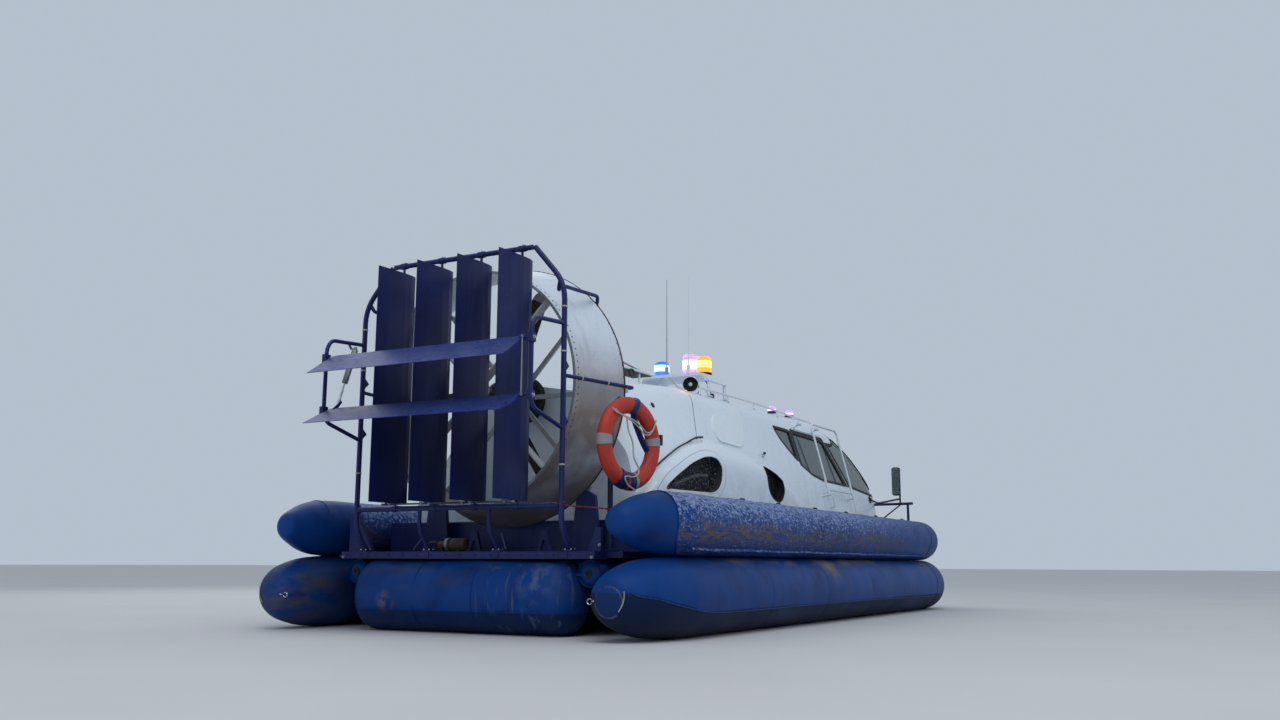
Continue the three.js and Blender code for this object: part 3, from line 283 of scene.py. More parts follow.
# The dirt amount scales the dirt streaks and specks, and also the painted shade and reflection low down.
def gelcoat_finish(name, colour=(0.73, 0.81, 0.87), dirt=0.6):
    f = Finish(name, colour, 0.27, Coat_Weight=0.25, Coat_Roughness=0.15)
    f.layer(f.patches(0.35, 0.75, 0.9, 4), tuple(c * 1.05 for c in colour))
    f.layer(f.both(f.patches(0.56, 0.8, 9, 7, (1, 1, 0.08)), 0.2 * dirt), (0.36, 0.37, 0.37), 0.45)
    # Painted shade and painted blue reflection of the tubes: darker and bluer towards the bottom.
    f.layer(f.both(f.span("Z", 1.5, 1.0), f.patches(0.4, 0.75, 7, 8), dirt), (0.27, 0.34, 0.42), 0.5)
    f.layer(f.both(f.patches(0.66, 0.72, 42, 6, (1, 1, 0.4)), 0.3 * dirt), (0.3, 0.28, 0.25), 0.6)
    f.bump(f.noise(5, 3), 0.004, 0.1)
    f.bump(f.noise(160, 2), 0.0004, 0.25)
    return f.done()


def duct_finish():
    """White gelcoat, brown-grey low down: partly dirt, partly painted shade and ground reflection."""
    f = Finish("duct_white", (0.62, 0.69, 0.76), 0.34, Coat_Weight=0.15, Coat_Roughness=0.25)
    f.layer(f.patches(0.35, 0.75, 1.2, 4), (0.68, 0.75, 0.82))
    # Partly dirt, partly painted shade and reflection of the ground: brown-grey towards the bottom.
    low = f.span("Z", 2.45, 1.75)
    f.layer(f.both(low, f.patches(0.15, 0.5, 3, 6), 0.95), (0.25, 0.2, 0.18), 0.5)
    # Painted shade under the duct: darker at the very bottom.
    f.layer(f.both(f.span("Z", 1.45, 0.95), 0.5), (0.075, 0.07, 0.095), 0.5)
    f.layer(f.both(f.patches(0.55, 0.8, 10, 7, (1, 1, 0.15)), 0.35), (0.18, 0.17, 0.16), 0.5)
    f.layer(f.both(f.patches(0.63, 0.7, 60, 5), 0.5), (0.2, 0.18, 0.16), 0.7)
    f.bump(f.noise(4, 3), 0.004, 0.15)
    return f.done()


def metal_finish(name, colour, rough, metal=1.0, spots=(0.2, 0.19, 0.17)):
    f = Finish(name, colour, rough, metal)
    f.layer(f.patches(0.45, 0.8, 22, 7), tuple(c * 0.72 for c in colour), rough + 0.12)
    f.layer(f.both(f.patches(0.62, 0.74, 60, 6), 0.6), spots, 0.75)
    f.bump(f.noise(200, 3, (1, 1, 0.15)), 0.0005, 0.5)
    return f.done()


def plastic_finish(name, colour, rough=0.6, dust=(0.25, 0.25, 0.25), amount=0.25, grain=220):
    f = Finish(name, colour, rough, Specular_IOR_Level=0.35)
    f.layer(f.patches(0.4, 0.8, 6, 5), tuple(c * 0.7 for c in colour))
    f.layer(f.both(f.patches(0.5, 0.72, 38, 5), amount), dust, 0.8)
    f.bump(f.noise(grain, 3), 0.0008, 0.5)
    return f.done()


def glass_finish(name, colour, clear=0.85):
    f = Finish(name, colour, 0.03, Transmission_Weight=clear, IOR=1.45, Specular_IOR_Level=0.35)
    f.layer(f.both(f.patches(0.5, 0.85, 4, 6, (1, 1, 0.4)), 0.2), (0.16, 0.2, 0.21), 0.3)
    f.bump(f.noise(3, 2), 0.002, 0.08)
    return f.done()


def lamp_finish(name, colour, glow, strength, clear=0.35):
    f = Finish(name, colour, 0.14, Transmission_Weight=clear, Emission_Strength=strength)
    f.shader.inputs["Emission Color"].default_value = (*glow, 1)
    f.layer(f.patches(0.5, 0.6, 30, 2, (0.2, 0.2, 3)), tuple(c * 0.6 for c in colour))
    f.bump(f.noise(60, 1, (0.1, 0.1, 3)), 0.002, 0.5)
    return f.done()


FABRIC_LOW = lower_skirt()
FABRIC_UP = upper_skirt()
FABRIC_STERN = stern_cloth()
NAVY = paint_finish("navy", (0.0095, 0.017, 0.092), (0.016, 0.026, 0.135))
ROD_BLUE = paint_finish("rod_navy", (0.014, 0.018, 0.075), (0.1, 0.12, 0.19), 0.5, 0.8)
RUDDER_BLUE = paint_finish("rudder_navy", (0.0062, 0.0125, 0.082), (0.008, 0.02, 0.12), 0.4, 0.3)
VANE = paint_finish("vane_blue", (0.007, 0.024, 0.165), (0.013, 0.04, 0.21), 0.42, 0.12)
WHITE = gelcoat_finish("gelcoat")
HATCH_WHITE = gelcoat_finish("hatch_cover", (0.77, 0.84, 0.88), 0.4)
WHITE_PIPE = gelcoat_finish("white_pipe", (0.68, 0.75, 0.8), 0.4)
DUCT_WHITE = duct_finish()
GREY = metal_finish("grey_metal", (0.3, 0.32, 0.33), 0.45, 0.6)
PALE_METAL = metal_finish("pale_metal", (0.46, 0.48, 0.5), 0.5, 0.3)
RIVET = metal_finish("dull_rivet", (0.1, 0.105, 0.12), 0.6, 0.3)
STEEL = metal_finish("bright_steel", (0.62, 0.63, 0.64), 0.2)
CHROME = metal_finish("chrome", (0.8, 0.81, 0.82), 0.1)
RUST = metal_finish("rusty", (0.12, 0.085, 0.06), 0.75, 0.3, (0.2, 0.08, 0.03))
BLACK = plastic_finish("black", (0.01, 0.01, 0.012), 0.5)
HUB_BLACK = plastic_finish("hub_black", (0.016, 0.017, 0.02), 0.4, (0.1, 0.11, 0.13), 0.3)
RUBBER = plastic_finish("rubber", (0.013, 0.014, 0.016), 0.6, amount=0.12)
# Dark lining, near-black so that it also paints the shade inside the cabin and in the intakes.
LINING_AND_SHADE = plastic_finish("cabin_lining_and_shade", (0.035, 0.038, 0.042), 0.9, (0.08, 0.08, 0.08), 0.2, 120)
PIT = plastic_finish("pit_black", (0.006, 0.007, 0.008), 0.8, (0.05, 0.05, 0.05), 0.3, 90)
MESH = plastic_finish("mesh_black", (0.01, 0.011, 0.013), 0.6, (0.38, 0.42, 0.47), 0.75, 90)
RED = plastic_finish("buoy_red", (0.5, 0.04, 0.022), 0.5, (0.3, 0.05, 0.035), 0.45, 120)
BAND = plastic_finish("band_grey", (0.3, 0.31, 0.32), 0.45)
ROPE = plastic_finish("rope_white", (0.5, 0.47, 0.43), 0.85, (0.3, 0.28, 0.25), 0.4, 400)
THREAD = plastic_finish("thread_blue", (0.03, 0.085, 0.24), 0.8, (0.2, 0.22, 0.3), 0.3, 400)
RED_ROPE = plastic_finish("rope_red", (0.22, 0.03, 0.035), 0.85, (0.2, 0.1, 0.1), 0.3, 400)
PLANK = plastic_finish("tray_brown", (0.085, 0.06, 0.058), 0.7, (0.14, 0.12, 0.11), 0.5, 60)
SEAT = plastic_finish("seat_leather", (0.022, 0.022, 0.025), 0.5, (0.06, 0.06, 0.06), 0.3, 90)
IRON = metal_finish("engine_iron", (0.12, 0.12, 0.125), 0.6, 0.6)
GLASS = glass_finish("window_glass", (0.1, 0.165, 0.175), 0.72)
SCREEN = glass_finish("screen_glass", (0.17, 0.26, 0.27), 0.78)
MIRROR = metal_finish("mirror_glass", (0.42, 0.52, 0.53), 0.12)
BLUE_LAMP = lamp_finish("lamp_blue", (0.02, 0.16, 0.75), (0.02, 0.16, 1.0), 0.7)
BLUE_CORE = lamp_finish("lamp_blue_core", (0.6, 0.9, 1.0), (0.55, 0.88, 1.0), 1.3, 0.1)
VIOLET_LAMP = lamp_finish("lamp_violet", (0.62, 0.45, 0.85), (0.62, 0.36, 0.95), 0.4, 0.6)
VIOLET_CORE = lamp_finish("lamp_violet_core", (1.0, 0.7, 0.75), (1.0, 0.62, 0.68), 1.3, 0.1)
ORANGE_LAMP = lamp_finish("lamp_orange", (0.95, 0.35, 0.03), (1.0, 0.33, 0.03), 0.9)
ORANGE_CORE = lamp_finish("lamp_orange_core", (1.0, 0.8, 0.3), (1.0, 0.62, 0.15), 1.5, 0.1)


# Mesh making

def turns(count):
    """Angles spread evenly over a full turn."""
    return [2 * pi * i / count for i in range(count)]


def spline(points, steps):
    """A smooth line through the points, the same on every run."""
    points = [Vector(p) for p in points]
    ends = [points[0] * 2 - points[1], *points, points[-1] * 2 - points[-2]]
    line = []
    for a, b, c, d in zip(ends, ends[1:], ends[2:], ends[3:]):
        for i in range(steps):
            t = i / steps
            line.append(0.5 * (2 * b + (c - a) * t + (2 * a - 5 * b + 4 * c - d) * t * t
                               + (3 * b - 3 * c + d - a) * t ** 3))
    return [*line, points[-1]]


def bend(before, here, after, reach, steps):
    """The round bend that takes the place of a corner."""
    reach = min(reach, (before - here).length * 0.48, (after - here).length * 0.48)
    start = here + (before - here).normalized() * reach
    end = here + (after - here).normalized() * reach
    places = [i / steps for i in range(steps + 1)]
    return [start * (1 - t) ** 2 + here * 2 * t * (1 - t) + end * t * t for t in places]


def rounded(points, reach=0.06, steps=5):
    """The points' straight line with round bends at its corners."""
    points = [Vector(p) for p in points]
    line = [points[0]]
    for before, here, after in zip(points, points[1:], points[2:]):
        line.extend(bend(before, here, after, reach, steps))
    return [*line, points[-1]]


def outline(corners, grow=0.0, reach=0.06, steps=4):
    """A closed outline moved outwards by a distance, with round corners."""
    corners = [Vector(c) for c in corners]
    turning = sum(a.x * b.y - a.y * b.x for a, b in zip(corners, [*corners[1:], corners[0]]))
    way = 1 if turning > 0 else -1
    moved = []
    for i, here in enumerate(corners):
        before = (here - corners[i - 1]).normalized()
        after = (corners[(i + 1) % len(corners)] - here).normalized()
        out_before = Vector((before.y, -before.x)) * way
        out_after = Vector((after.y, -after.x)) * way
        moved.append(here + (out_before + out_after) * grow / (1 + out_before.dot(out_after)))
    line = []
    for i, here in enumerate(moved):
        line.extend(bend(moved[i - 1], here, moved[(i + 1) % len(moved)], max(reach, 0.002), steps))
    return [(p.x, p.y) for p in line]


class Shape:
    """Vertices and faces with a material number for each face."""

    def __init__(self):
        self.points, self.faces, self.paint = [], [], []

    def face(self, corners, paint):
        self.faces.append(corners)
        self.paint.append(paint)

    def rows(self, rows, paint=0, ring=False):
        """A skin over rows of points, closed round each row; its ends are capped, or joined in a ring."""
        base, count = len(self.points), len(rows[0])
        for row in rows:
            self.points.extend(tuple(p) for p in row)
        for i in range(len(rows) if ring else len(rows) - 1):
            here, there = base + i * count, base + ((i + 1) % len(rows)) * count
            for j in range(count):
                k = (j + 1) % count
                self.face((here + j, here + k, there + k, there + j), paint)
        if not ring:
            self.face(tuple(base + j for j in reversed(range(count))), paint)
            self.face(tuple(base + (len(rows) - 1) * count + j for j in range(count)), paint)
        return self

    def sweep(self, path, radius, sides=10, paint=0, flat=1.0, ring=False, side=None):
        path = [Vector(p) for p in path]
        last, rows = len(path) - 1, []
        for i, point in enumerate(path):
            before = path[i - 1] if i or ring else path[0]
            after = path[(i + 1) % (last + 1)] if i < last or ring else path[last]
            along = (after - before).normalized()
            side = Vector(side or along.orthogonal())
            side = (side - along * side.dot(along)).normalized()
            other = along.cross(side)
            r = radius[i] if isinstance(radius, (list, tuple)) else radius
            rows.append([point + side * r * cos(a) + other * r * flat * sin(a) for a in turns(sides)])
        return self.rows(rows, paint, ring=ring)

    def turned(self, profile, centre, axis=(0, 0, 1), sides=32, paint=0, ring=False):
        """A solid turned about an axis; profile pairs are (distance along, radius)."""
        axis = Vector(axis).normalized()
        side = axis.orthogonal().normalized()
        other = axis.cross(side)
        centre = Vector(centre)
        spokes = [side * cos(a) + other * sin(a) for a in turns(sides)]
        rows = [[centre + axis * a + spoke * max(r, 1e-4) for spoke in spokes] for a, r in profile]
        return self.rows(rows, paint, ring=ring)

    def sleeve(self, centre, axis, inner, outer, low, high, sides=16, paint=0):
        """A turned ring with a square edge from low to high along the axis."""
        profile = [(low, inner), (low, outer), (high, outer), (high, inner)]
        return self.turned(profile, centre, axis, sides, paint)

    def block(self, low, high, paint=0):
        (a, b, c), (d, e, f) = low, high
        return self.rows([[(a, b, z), (d, b, z), (d, e, z), (a, e, z)] for z in (c, f)], paint)

    def prism(self, line, across, low, high, paint=0):
        """An outline in the two other axes, drawn along axis number across from low to high."""
        def at(pair, depth):
            point = list(pair)
            point.insert(across, depth)
            return tuple(point)
        return self.rows([[at(pair, depth) for pair in line] for depth in (low, high)], paint)

    def bolt(self, point, axis, radius=0.009, height=0.007, paint=0):
        wide, thin = radius * 1.5, 0.002
        profile = [(0, wide), (thin, wide), (thin, radius), (height, radius), (height, 0)]
        return self.turned(profile, point, axis, 6, paint)

    def pad(self, centre, half, tilt=0.0, power=3.2):
        """A crowned cushion: a rounded block, fuller in the middle of each side."""
        def swollen(value):
            return abs(value) ** (2 / power) * (1 if value > 0 else -1)

        rows, count = [], 22
        turn = Matrix.Rotation(tilt, 3, "Y")
        for i in range(count + 1):
            rise = swollen(-cos(pi * i / count))
            width = max(1 - abs(rise) ** power, 0.0) ** (1 / power)
            ring = []
            for angle in turns(40):
                a, b = swollen(cos(angle)), swollen(sin(angle))
                fuller = 1 + 0.16 * (1 - a * a) * (1 - b * b)
                spot = Vector((a * width * half[0], b * width * half[1], rise * half[2] * fuller))
                ring.append(Vector(centre) + turn @ spot)
            rows.append(ring)
        return self.rows(rows)


def cleaned(shape):
    """The shape's mesh, with joined points and all faces turned outwards."""
    mesh = bpy.data.meshes.new("shape")
    mesh.from_pydata(shape.points, [], shape.faces)
    mesh.polygons.foreach_set("material_index", shape.paint)
    work = bmesh.new()
    work.from_mesh(mesh)
    bmesh.ops.remove_doubles(work, verts=work.verts, dist=2e-6)
    bmesh.ops.recalc_face_normals(work, faces=work.faces)
    work.to_mesh(mesh)
    work.free()
    return mesh


def cut(solid):
    return "DIFFERENCE", solid


def keep(solid):
    return "INTERSECT", solid


def carved(source, *steps):
    """The mesh left when each step's solid is cut away, or only what lies in it is kept."""
    spare = []
    for item in (source, *(tool for _, tool in steps)):
        mesh = cleaned(item) if isinstance(item, Shape) else item.copy()
        made = bpy.data.objects.new("carving", mesh)
        scene.collection.objects.link(made)
        spare.append(made)
    for (kind, _), tool in zip(steps, spare[1:]):
        cutter = spare[0].modifiers.new(kind, "BOOLEAN")
        cutter.operation = kind
        cutter.solver = "MANIFOLD"
        cutter.object = tool
    graph = bpy.context.evaluated_depsgraph_get()
    result = bpy.data.meshes.new_from_object(spare[0].evaluated_get(graph))
    for made in spare:
        mesh = made.data
        bpy.data.objects.remove(made)
        bpy.data.meshes.remove(mesh)
    return result


def link(name, mesh, finishes, body, nodes=(), bevel=0.0, smooth=38, paint=None):
    for finish in finishes:
        mesh.materials.append(finish)
    if paint:
        for polygon in mesh.polygons:
            polygon.material_index = paint(polygon.center, polygon.normal)
    mesh.polygons.foreach_set("use_smooth", [True] * len(mesh.polygons))
    mesh.set_sharp_from_angle(angle=radians(smooth))
    made = bpy.data.objects.new(name, mesh)
    scene.collection.objects.link(made)
    if bevel:
        rounding = made.modifiers.new("edges", "BEVEL")
        rounding.width = bevel
        rounding.segments = 2
        rounding.angle_limit = radians(40)
    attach(made, body)
    if nodes:
        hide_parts(*nodes)
    return made


def piece(name, shape, finishes, body="craft", nodes=(), bevel=0.0, smooth=38):
    return link(name, cleaned(shape), finishes, body, nodes, bevel, smooth)


def panel(name, mesh, finishes, body="craft", nodes=(), smooth=32, paint=None, bevel=0.0):
    """A piece from a carved mesh, whose own materials are dropped."""
    mesh.materials.clear()
    return link(name, mesh, finishes, body, nodes, bevel, smooth, paint)


def merge(*meshes):
    """One shape from several meshes."""
    whole = Shape()
    for mesh in meshes:
        base = len(whole.points)
        whole.points.extend(tuple(v.co) for v in mesh.vertices)
        for polygon in mesh.polygons:
            whole.face(tuple(base + v for v in polygon.vertices), 0)
    return whole


# Inflated skirt tubes

SKIRT_Y = 1.75
BOW_START, BOW_REACH, BOW_POWER = 3.4, 0.88, 3.5
CAP_START, NOSE_SHIFT = -3.4, 0.12
CLOTH_INSET = 0.003
GROUND = 0.001
PANEL_SEAMS = (-2.1, -0.7, 0.7, 2.0)
BOW_SEAMS = (1.1, 2.45, 3.8)
TUBES = {  # radius, height, cloth, tail's end, cap as pairs of distance from that end and radius
    "low": (0.31, LOW_Z, FABRIC_LOW, -4.19,
            [(0, THIN), (0.012, 0.1), (0.055, 0.17), (0.18, 0.235), (0.38, 0.285), (0.65, 0.31),
             (0.79, 0.31)]),
    "up": (0.25, UP_Z, FABRIC_UP, -4.08,
           [(0, THIN), (0.01, 0.07), (0.045, 0.11), (0.14, 0.155), (0.28, 0.205), (0.45, 0.24), (0.62, 0.25),
            (0.68, 0.25)]),
}


def smooth_profile(pairs, steps, most):
    """A smooth line through (distance, radius) pairs, with the radius kept between THIN and most."""
    return [(p.x, min(max(p.y, THIN), most)) for p in spline([(a, r, 0) for a, r in pairs], steps)]


def cap_profile(layer):
    radius, _, _, tail, cap = TUBES[layer]
    return smooth_profile([(tail + x, r) for x, r in cap], 7, radius)


def tube_radius(layer, x):
    profile = cap_profile(layer)
    if x >= profile[-1][0]:
        return TUBES[layer][0]
    for (a, r), (b, q) in zip(profile, profile[1:]):
        if a <= x <= b and b > a:
            return r + (q - r) * (x - a) / (b - a)
    return THIN


def tube_middle(layer, x):
    """How far from the craft's middle line the tube's own line runs at x."""
    along = max(0.0, (CAP_START - x) / (CAP_START - TUBES[layer][3]))
    return SKIRT_Y - NOSE_SHIFT * along ** 1.5


def on_tube(layer, s, x, angle, out=0.0):
    """A point on a side tube's skin; the angle is 0 outwards and 90 degrees at the top."""
    radius = tube_radius(layer, x) + out
    y = tube_middle(layer, x) + radius * cos(angle)
    return Vector((x, s * y, TUBES[layer][1] + radius * sin(angle)))


def bow_point(t, z):
    angle = (t - 0.5) * pi
    x = BOW_START + BOW_REACH * abs(cos(angle)) ** (2 / BOW_POWER)
    y = SKIRT_Y * abs(sin(angle)) ** (2 / BOW_POWER)
    return Vector((x, y if angle > 0 else -y, z))


def tube_rows(line, sides=56):
    """Rings of (point, along, radius) with a bottom that rests flat on the ground."""
    rows = []
    for point, along, r in line:
        side = along.cross(UP).normalized()
        ring = [point + side * r * cos(a) + Vector((0, 0, r * sin(a))) for a in turns(sides)]
        rows.append([Vector((p.x, p.y, max(p.z, GROUND))) for p in ring])
    return rows


def pinch(distance, seams, width, depth=0.0012):
    return sum(depth * max(0.0, 1 - abs(distance - s) / width) for s in seams)


def side_tube(layer, side, s):
    _, z, cloth, _, _ = TUBES[layer]
    width = 0.018
    xs = {x for x, _ in cap_profile(layer)} | {BOW_START - 0.0005}
    xs |= {x + d for x in PANEL_SEAMS for d in (-width, -width / 2, 0, width / 2, width)}
    xs |= {CAP_START + 0.1 * i for i in range(68)}
    line = []
    for x in sorted(x for x in xs if x < BOW_START):
        swell = 0.0025 * sin(7.3 * x + s) + 0.0015 * sin(17 * x + 2 * s)
        r = tube_radius(layer, x) - pinch(x, PANEL_SEAMS, width) - CLOTH_INSET + min(swell, THIN)
        line.append((Vector((x, s * tube_middle(layer, x), z)), Vector(AHEAD), max(r, THIN)))
    piece(f"skirt_{layer}_{side}", Shape().rows(tube_rows(line)), [cloth],
          nodes=[f"{layer}_tube_{side}"], smooth=60)


def bow_tube(layer):
    radius, z, cloth, _, _ = TUBES[layer]
    count = 110
    path = [bow_point(i / count, z) for i in range(count + 1)]
    travelled, line = 0.0, []
    for i, point in enumerate(path):
        along = path[min(i + 1, count)] - path[max(i - 1, 0)]
        if i in (0, count):
            along = Vector((1 if i == 0 else -1, 0, 0))
        travelled += (point - path[i - 1]).length if i else 0
        line.append((point, along.normalized(), radius - CLOTH_INSET - pinch(travelled, BOW_SEAMS, 0.05)))
    piece(f"skirt_{layer}_bow", Shape().rows(tube_rows(line)), [cloth],
          nodes=[f"{layer}_tube_bow"], smooth=60)


def skirts():
    for layer in TUBES:
        for side, s in SIDES:
            side_tube(layer, side, s)
        bow_tube(layer)


# Stern tube and the inner tube ends beside it

STERN_X, STERN_Z, STERN_R = -3.6, 0.2955, 0.2975
STERN_STRAIGHT, STERN_DOME = 0.9, 0.18
INNER_Y, INNER_Z = 1.165, 0.482


def stern_point(y, angle, radius):
    return Vector((STERN_X + radius * cos(angle), y, max(STERN_Z + radius * sin(angle), GROUND)))


def stern_radius(y):
    """The stern tube's radius at y: straight in the middle, domed over its last part."""
    t = max(0.0, (abs(y) - STERN_STRAIGHT) / STERN_DOME)
    return STERN_R * sqrt(max(1 - t ** 2.4, 0.0))


def stern_ring(y):
    """A ring of the stern tube, whose cloth is folded towards its starboard end."""
    ring = []
    near_end = max(0.0, -y - 0.35) / 0.7
    for angle in turns(72):
        fold = 0.016 * near_end * max(0.0, sin(7 * angle + 13 * y)) ** 2
        fold += 0.004 * sin(3 * angle + 5 * y) + 0.004
        ring.append(stern_point(y, angle, max(stern_radius(y) - fold, THIN)))
    return ring


def stern_skirt():
    ends = [-1.0799, -1.075, -1.065, -1.05, -1.03, -1.0, -0.97, -0.94, -STERN_STRAIGHT]
    ys = ends + [-STERN_STRAIGHT + 0.03 * i for i in range(1, 60)] + [-y for y in reversed(ends)]
    shape, trim = Shape().rows([stern_ring(y) for y in ys]), Shape()
    nose = smooth_profile([(-3.66, THIN), (-3.648, 0.06), (-3.61, 0.095), (-3.55, 0.109), (-2.6, 0.109),
                           (-2.5, 0.08), (-2.48, THIN)], 5, 0.11)
    for s in (-1, 1):
        centre = (0, s * INNER_Y, INNER_Z)
        shape.turned(nose, centre, AHEAD)
        near, far = s * (INNER_Y - 0.3), s * (INNER_Y - 0.05)
        web = [(near, INNER_Z - 0.02), (far, INNER_Z - 0.02), (far, INNER_Z), (near, INNER_Z)]
        shape.prism(web, 0, -3.64, -3.32)
        valve = [(-3.661, 0.034), (-3.668, 0.032), (-3.668, 0.018), (-3.655, 0.016)]
        trim.turned(valve, centre, AHEAD, 20, 1)
        trim.turned([(-3.665, 0.016), (-3.661, 0.0)], centre, AHEAD, 20, 2)
    low = radians(180 + 22)
    trim.sweep([stern_point(-0.86 + 0.04 * i, low, STERN_R - 0.001) for i in range(44)], 0.0035, 6)
    for y in (-0.227, 0.36):
        ring = [stern_point(y, radians(180 - a), STERN_R - 0.002) for a in range(-60, 80, 5)]
        trim.sweep(ring, 0.0022, 6)
    piece("skirt_stern", shape, [FABRIC_STERN], nodes=["stern_tubes"], smooth=60)
    piece("stern_skirt_trim", trim, [FABRIC_STERN, RUBBER, PIT])


# Seams, flaps, lifting tabs, nose strap and hook of the side tubes

SEAM = [  # x and height of the stitched seam on the lower tube
    (-4.13, 0.352), (-4.076, 0.328), (-3.938, 0.303), (-3.7, 0.25), (-3.4, 0.207), (-3.04, 0.19),
    (-2.34, 0.188), (-0.94, 0.194), (0.4, 0.195), (1.52, 0.188), (2.6, 0.18), (3.38, 0.176)]
STITCH_STEP = 0.045
TAB_XS = (-1.95, -1.1, -0.1, 0.88, 1.97, 3.07)
TAB_ANGLE = radians(98)
FLAP_ANGLE = -50
STRAP = ((1.767, 0.366), (1.77, 0.32), (1.757, 0.27), (1.73, 0.226))


def on_seam(s, x, z):
    """The point of the lower tube's outer side at x and z, just under its skin."""
    radius = tube_radius("low", x)
    rise = max(-0.98, min(0.98, (z - LOW_Z) / radius))
    reach = radius - 0.002
    return Vector((x, s * (tube_middle("low", x) + reach * sqrt(1 - rise * rise)), LOW_Z + reach * rise))


def on_nose(s, y, z, out=0.004):
    """The point of the lower tube's tail that lies at this distance from the middle line and this height."""
    x = TUBES["low"][3]
    while sqrt((y - tube_middle("low", x)) ** 2 + (z - LOW_Z) ** 2) > tube_radius("low", x):
        x += 0.002
    return Vector((x - out, s * y, z))


def cap_seam(angle):
    """Where the upper tube's tail seam runs: slanted forward towards the top and below."""
    rise = sin(angle)
    return -3.67 + (0.07 * rise ** 2 if rise > 0 else 0.24 * rise ** 4)


def flap_angle(x):
    return radians(FLAP_ANGLE + 0.7 * sin(5 * x) + 0.4 * sin(13 * x))


def stitched_seam(seams, s):
    line = [on_seam(s, p.x, p.y) for p in spline([(x, z, 0) for x, z in SEAM], 14)]
    seams.sweep(line, 0.0045, 6)
    length = 0.0
    for before, here in zip(line, line[1:]):
        length += (here - before).length
        if length > STITCH_STEP:
            length = 0.0
            way = (here - before).normalized() * 0.011
            out = Vector((0, s * 0.0042, 0.001))
            seams.sweep([here - way + out, here + way + out], 0.0028, 5, 1)


def lifting_tab(tabs, s, x):
    path = [on_tube("up", s, x + d, TAB_ANGLE, h)
            for d, h in ((-0.06, -0.004), (-0.045, 0.012), (0.045, 0.012), (0.06, -0.004))]
    tabs.sweep(rounded(path, 0.02, 3), 0.01, 8, 0, 0.5)
    outwards = on_tube("up", s, x, TAB_ANGLE, 1.0) - on_tube("up", s, x, TAB_ANGLE, 0.0)
    for d in (-0.058, 0.058):
        patch = [(0, 0.022), (0.003, 0.02), (0.003, 0)]
        tabs.turned(patch, on_tube("up", s, x + d, TAB_ANGLE, -0.003), outwards, 12, 1)


def skirt_trim():
    seams, flap, tabs = Shape(), Shape(), Shape()
    for _, s in SIDES:
        stitched_seam(seams, s)
        weld = [radians(a) for a in range(-115, 150, 6)]
        seams.sweep([on_tube("up", s, cap_seam(a), a, -0.0015) for a in weld], 0.004, 6)
        xs = [-3.38 + 6.76 * i / 69 for i in range(70)]
        strip = [on_tube("up", s, x, flap_angle(x), 0.002) for x in xs]
        flap.sweep(strip, 0.015, 10, 0, 0.45, side=(0, 1, -s))
        for x in TAB_XS:
            lifting_tab(tabs, s, x)
        tabs.sweep(spline([on_nose(s, y, z) for y, z in STRAP], 4), 0.01, 6, 2, 0.35)
        hook = on_nose(s, 1.482, 0.29, 0.012)
        ring = [hook + Vector((0, 0.02 * cos(a), 0.02 * sin(a))) for a in turns(16)]
        tabs.sweep(ring, 0.004, 6, 3, ring=True)
        tabs.sweep([hook + Vector((0.004, s * 0.02, 0)), on_nose(s, 1.53, 0.296, -0.002)], 0.008, 8, 2)
    piece("skirt_seams", seams, [FABRIC_UP, THREAD])
    piece("skirt_flaps", flap, [FABRIC_UP])
    piece("skirt_tabs", tabs, [RUBBER, FABRIC_UP, ROPE, STEEL])


# Duct with its rivets and edge bands

DUCT_PROFILE = [  # x and radius, forward along the outside and back along the inside
    (-3.63, 0.989), (-3.63, 1.014), (-3.618, 1.018), (-3.48, 1.03), (-3.33, 1.059), (-3.2, 1.092),
    (-3.13, 1.115), (-3.085, 1.136), (-3.062, 1.139), (-3.043, 1.13), (-3.04, 1.112), (-3.05, 1.085),
    (-3.09, 1.055), (-3.13, 1.037), (-3.2, 1.004), (-3.25, 0.993), (-3.32, 0.987), (-3.39, 0.985)]
RIVET_ROWS = ((120, -3.598, 1.0195), (72, -3.07, 1.1385))
DUCT_SIDES = 144


def duct():
    centre = (0, 0, DUCT_Z)
    shape = Shape().turned(DUCT_PROFILE, centre, AHEAD, DUCT_SIDES, ring=True)
    for count, x, radius in RIVET_ROWS:
        for angle in turns(count):
            out = Vector((0, cos(angle), sin(angle)))
            head = [(0, 0.0075), (0.004, 0.0055), (0.004, 0)]
            shape.turned(head, Vector((x, 0, DUCT_Z)) + out * radius, out, 6, 1)
    piece("duct_shell", shape, [DUCT_WHITE, RIVET], nodes=["duct"], smooth=30)
    front = [(-3.066, 1.1385), (-3.066, 1.144), (-3.046, 1.1415), (-3.046, 1.132)]
    rear = [(-3.634, 0.99), (-3.634, 1.012), (-3.63, 1.0135), (-3.63, 0.9895)]
    band = Shape().turned(front, centre, AHEAD, DUCT_SIDES, ring=True)
    band.turned(rear, centre, AHEAD, DUCT_SIDES, 1, True)
    piece("duct_edge_bands", band, [RUBBER, GREY])


# Propeller: three twisted blades on a turned hub

PROP_X = -3.25
BLADE = [  # distance out, chord, thickness, pitch in degrees
    (0.08, 0.11, 0.04, 58), (0.23, 0.19, 0.026, 48), (0.48, 0.2, 0.018, 34), (0.74, 0.165, 0.012, 26),
    (0.9, 0.125, 0.009, 22), (0.948, 0.085, 0.006, 21)]
BLADE_SIDES = 22
FIRST_BLADE = 237
BAND_FROM, BAND_GROWTH = 0.86, 1.03
HUB = [(-0.098, THIN), (-0.094, 0.045), (-0.07, 0.085), (-0.03, 0.108), (0.06, 0.114), (0.072, 0.06),
       (0.074, 0.031)]
SHAFT = [(-3.561, 0), (-3.561, 0.028), (-3.559, 0.0298), (-2.768, 0.0298), (-2.766, 0.028), (-2.766, 0)]


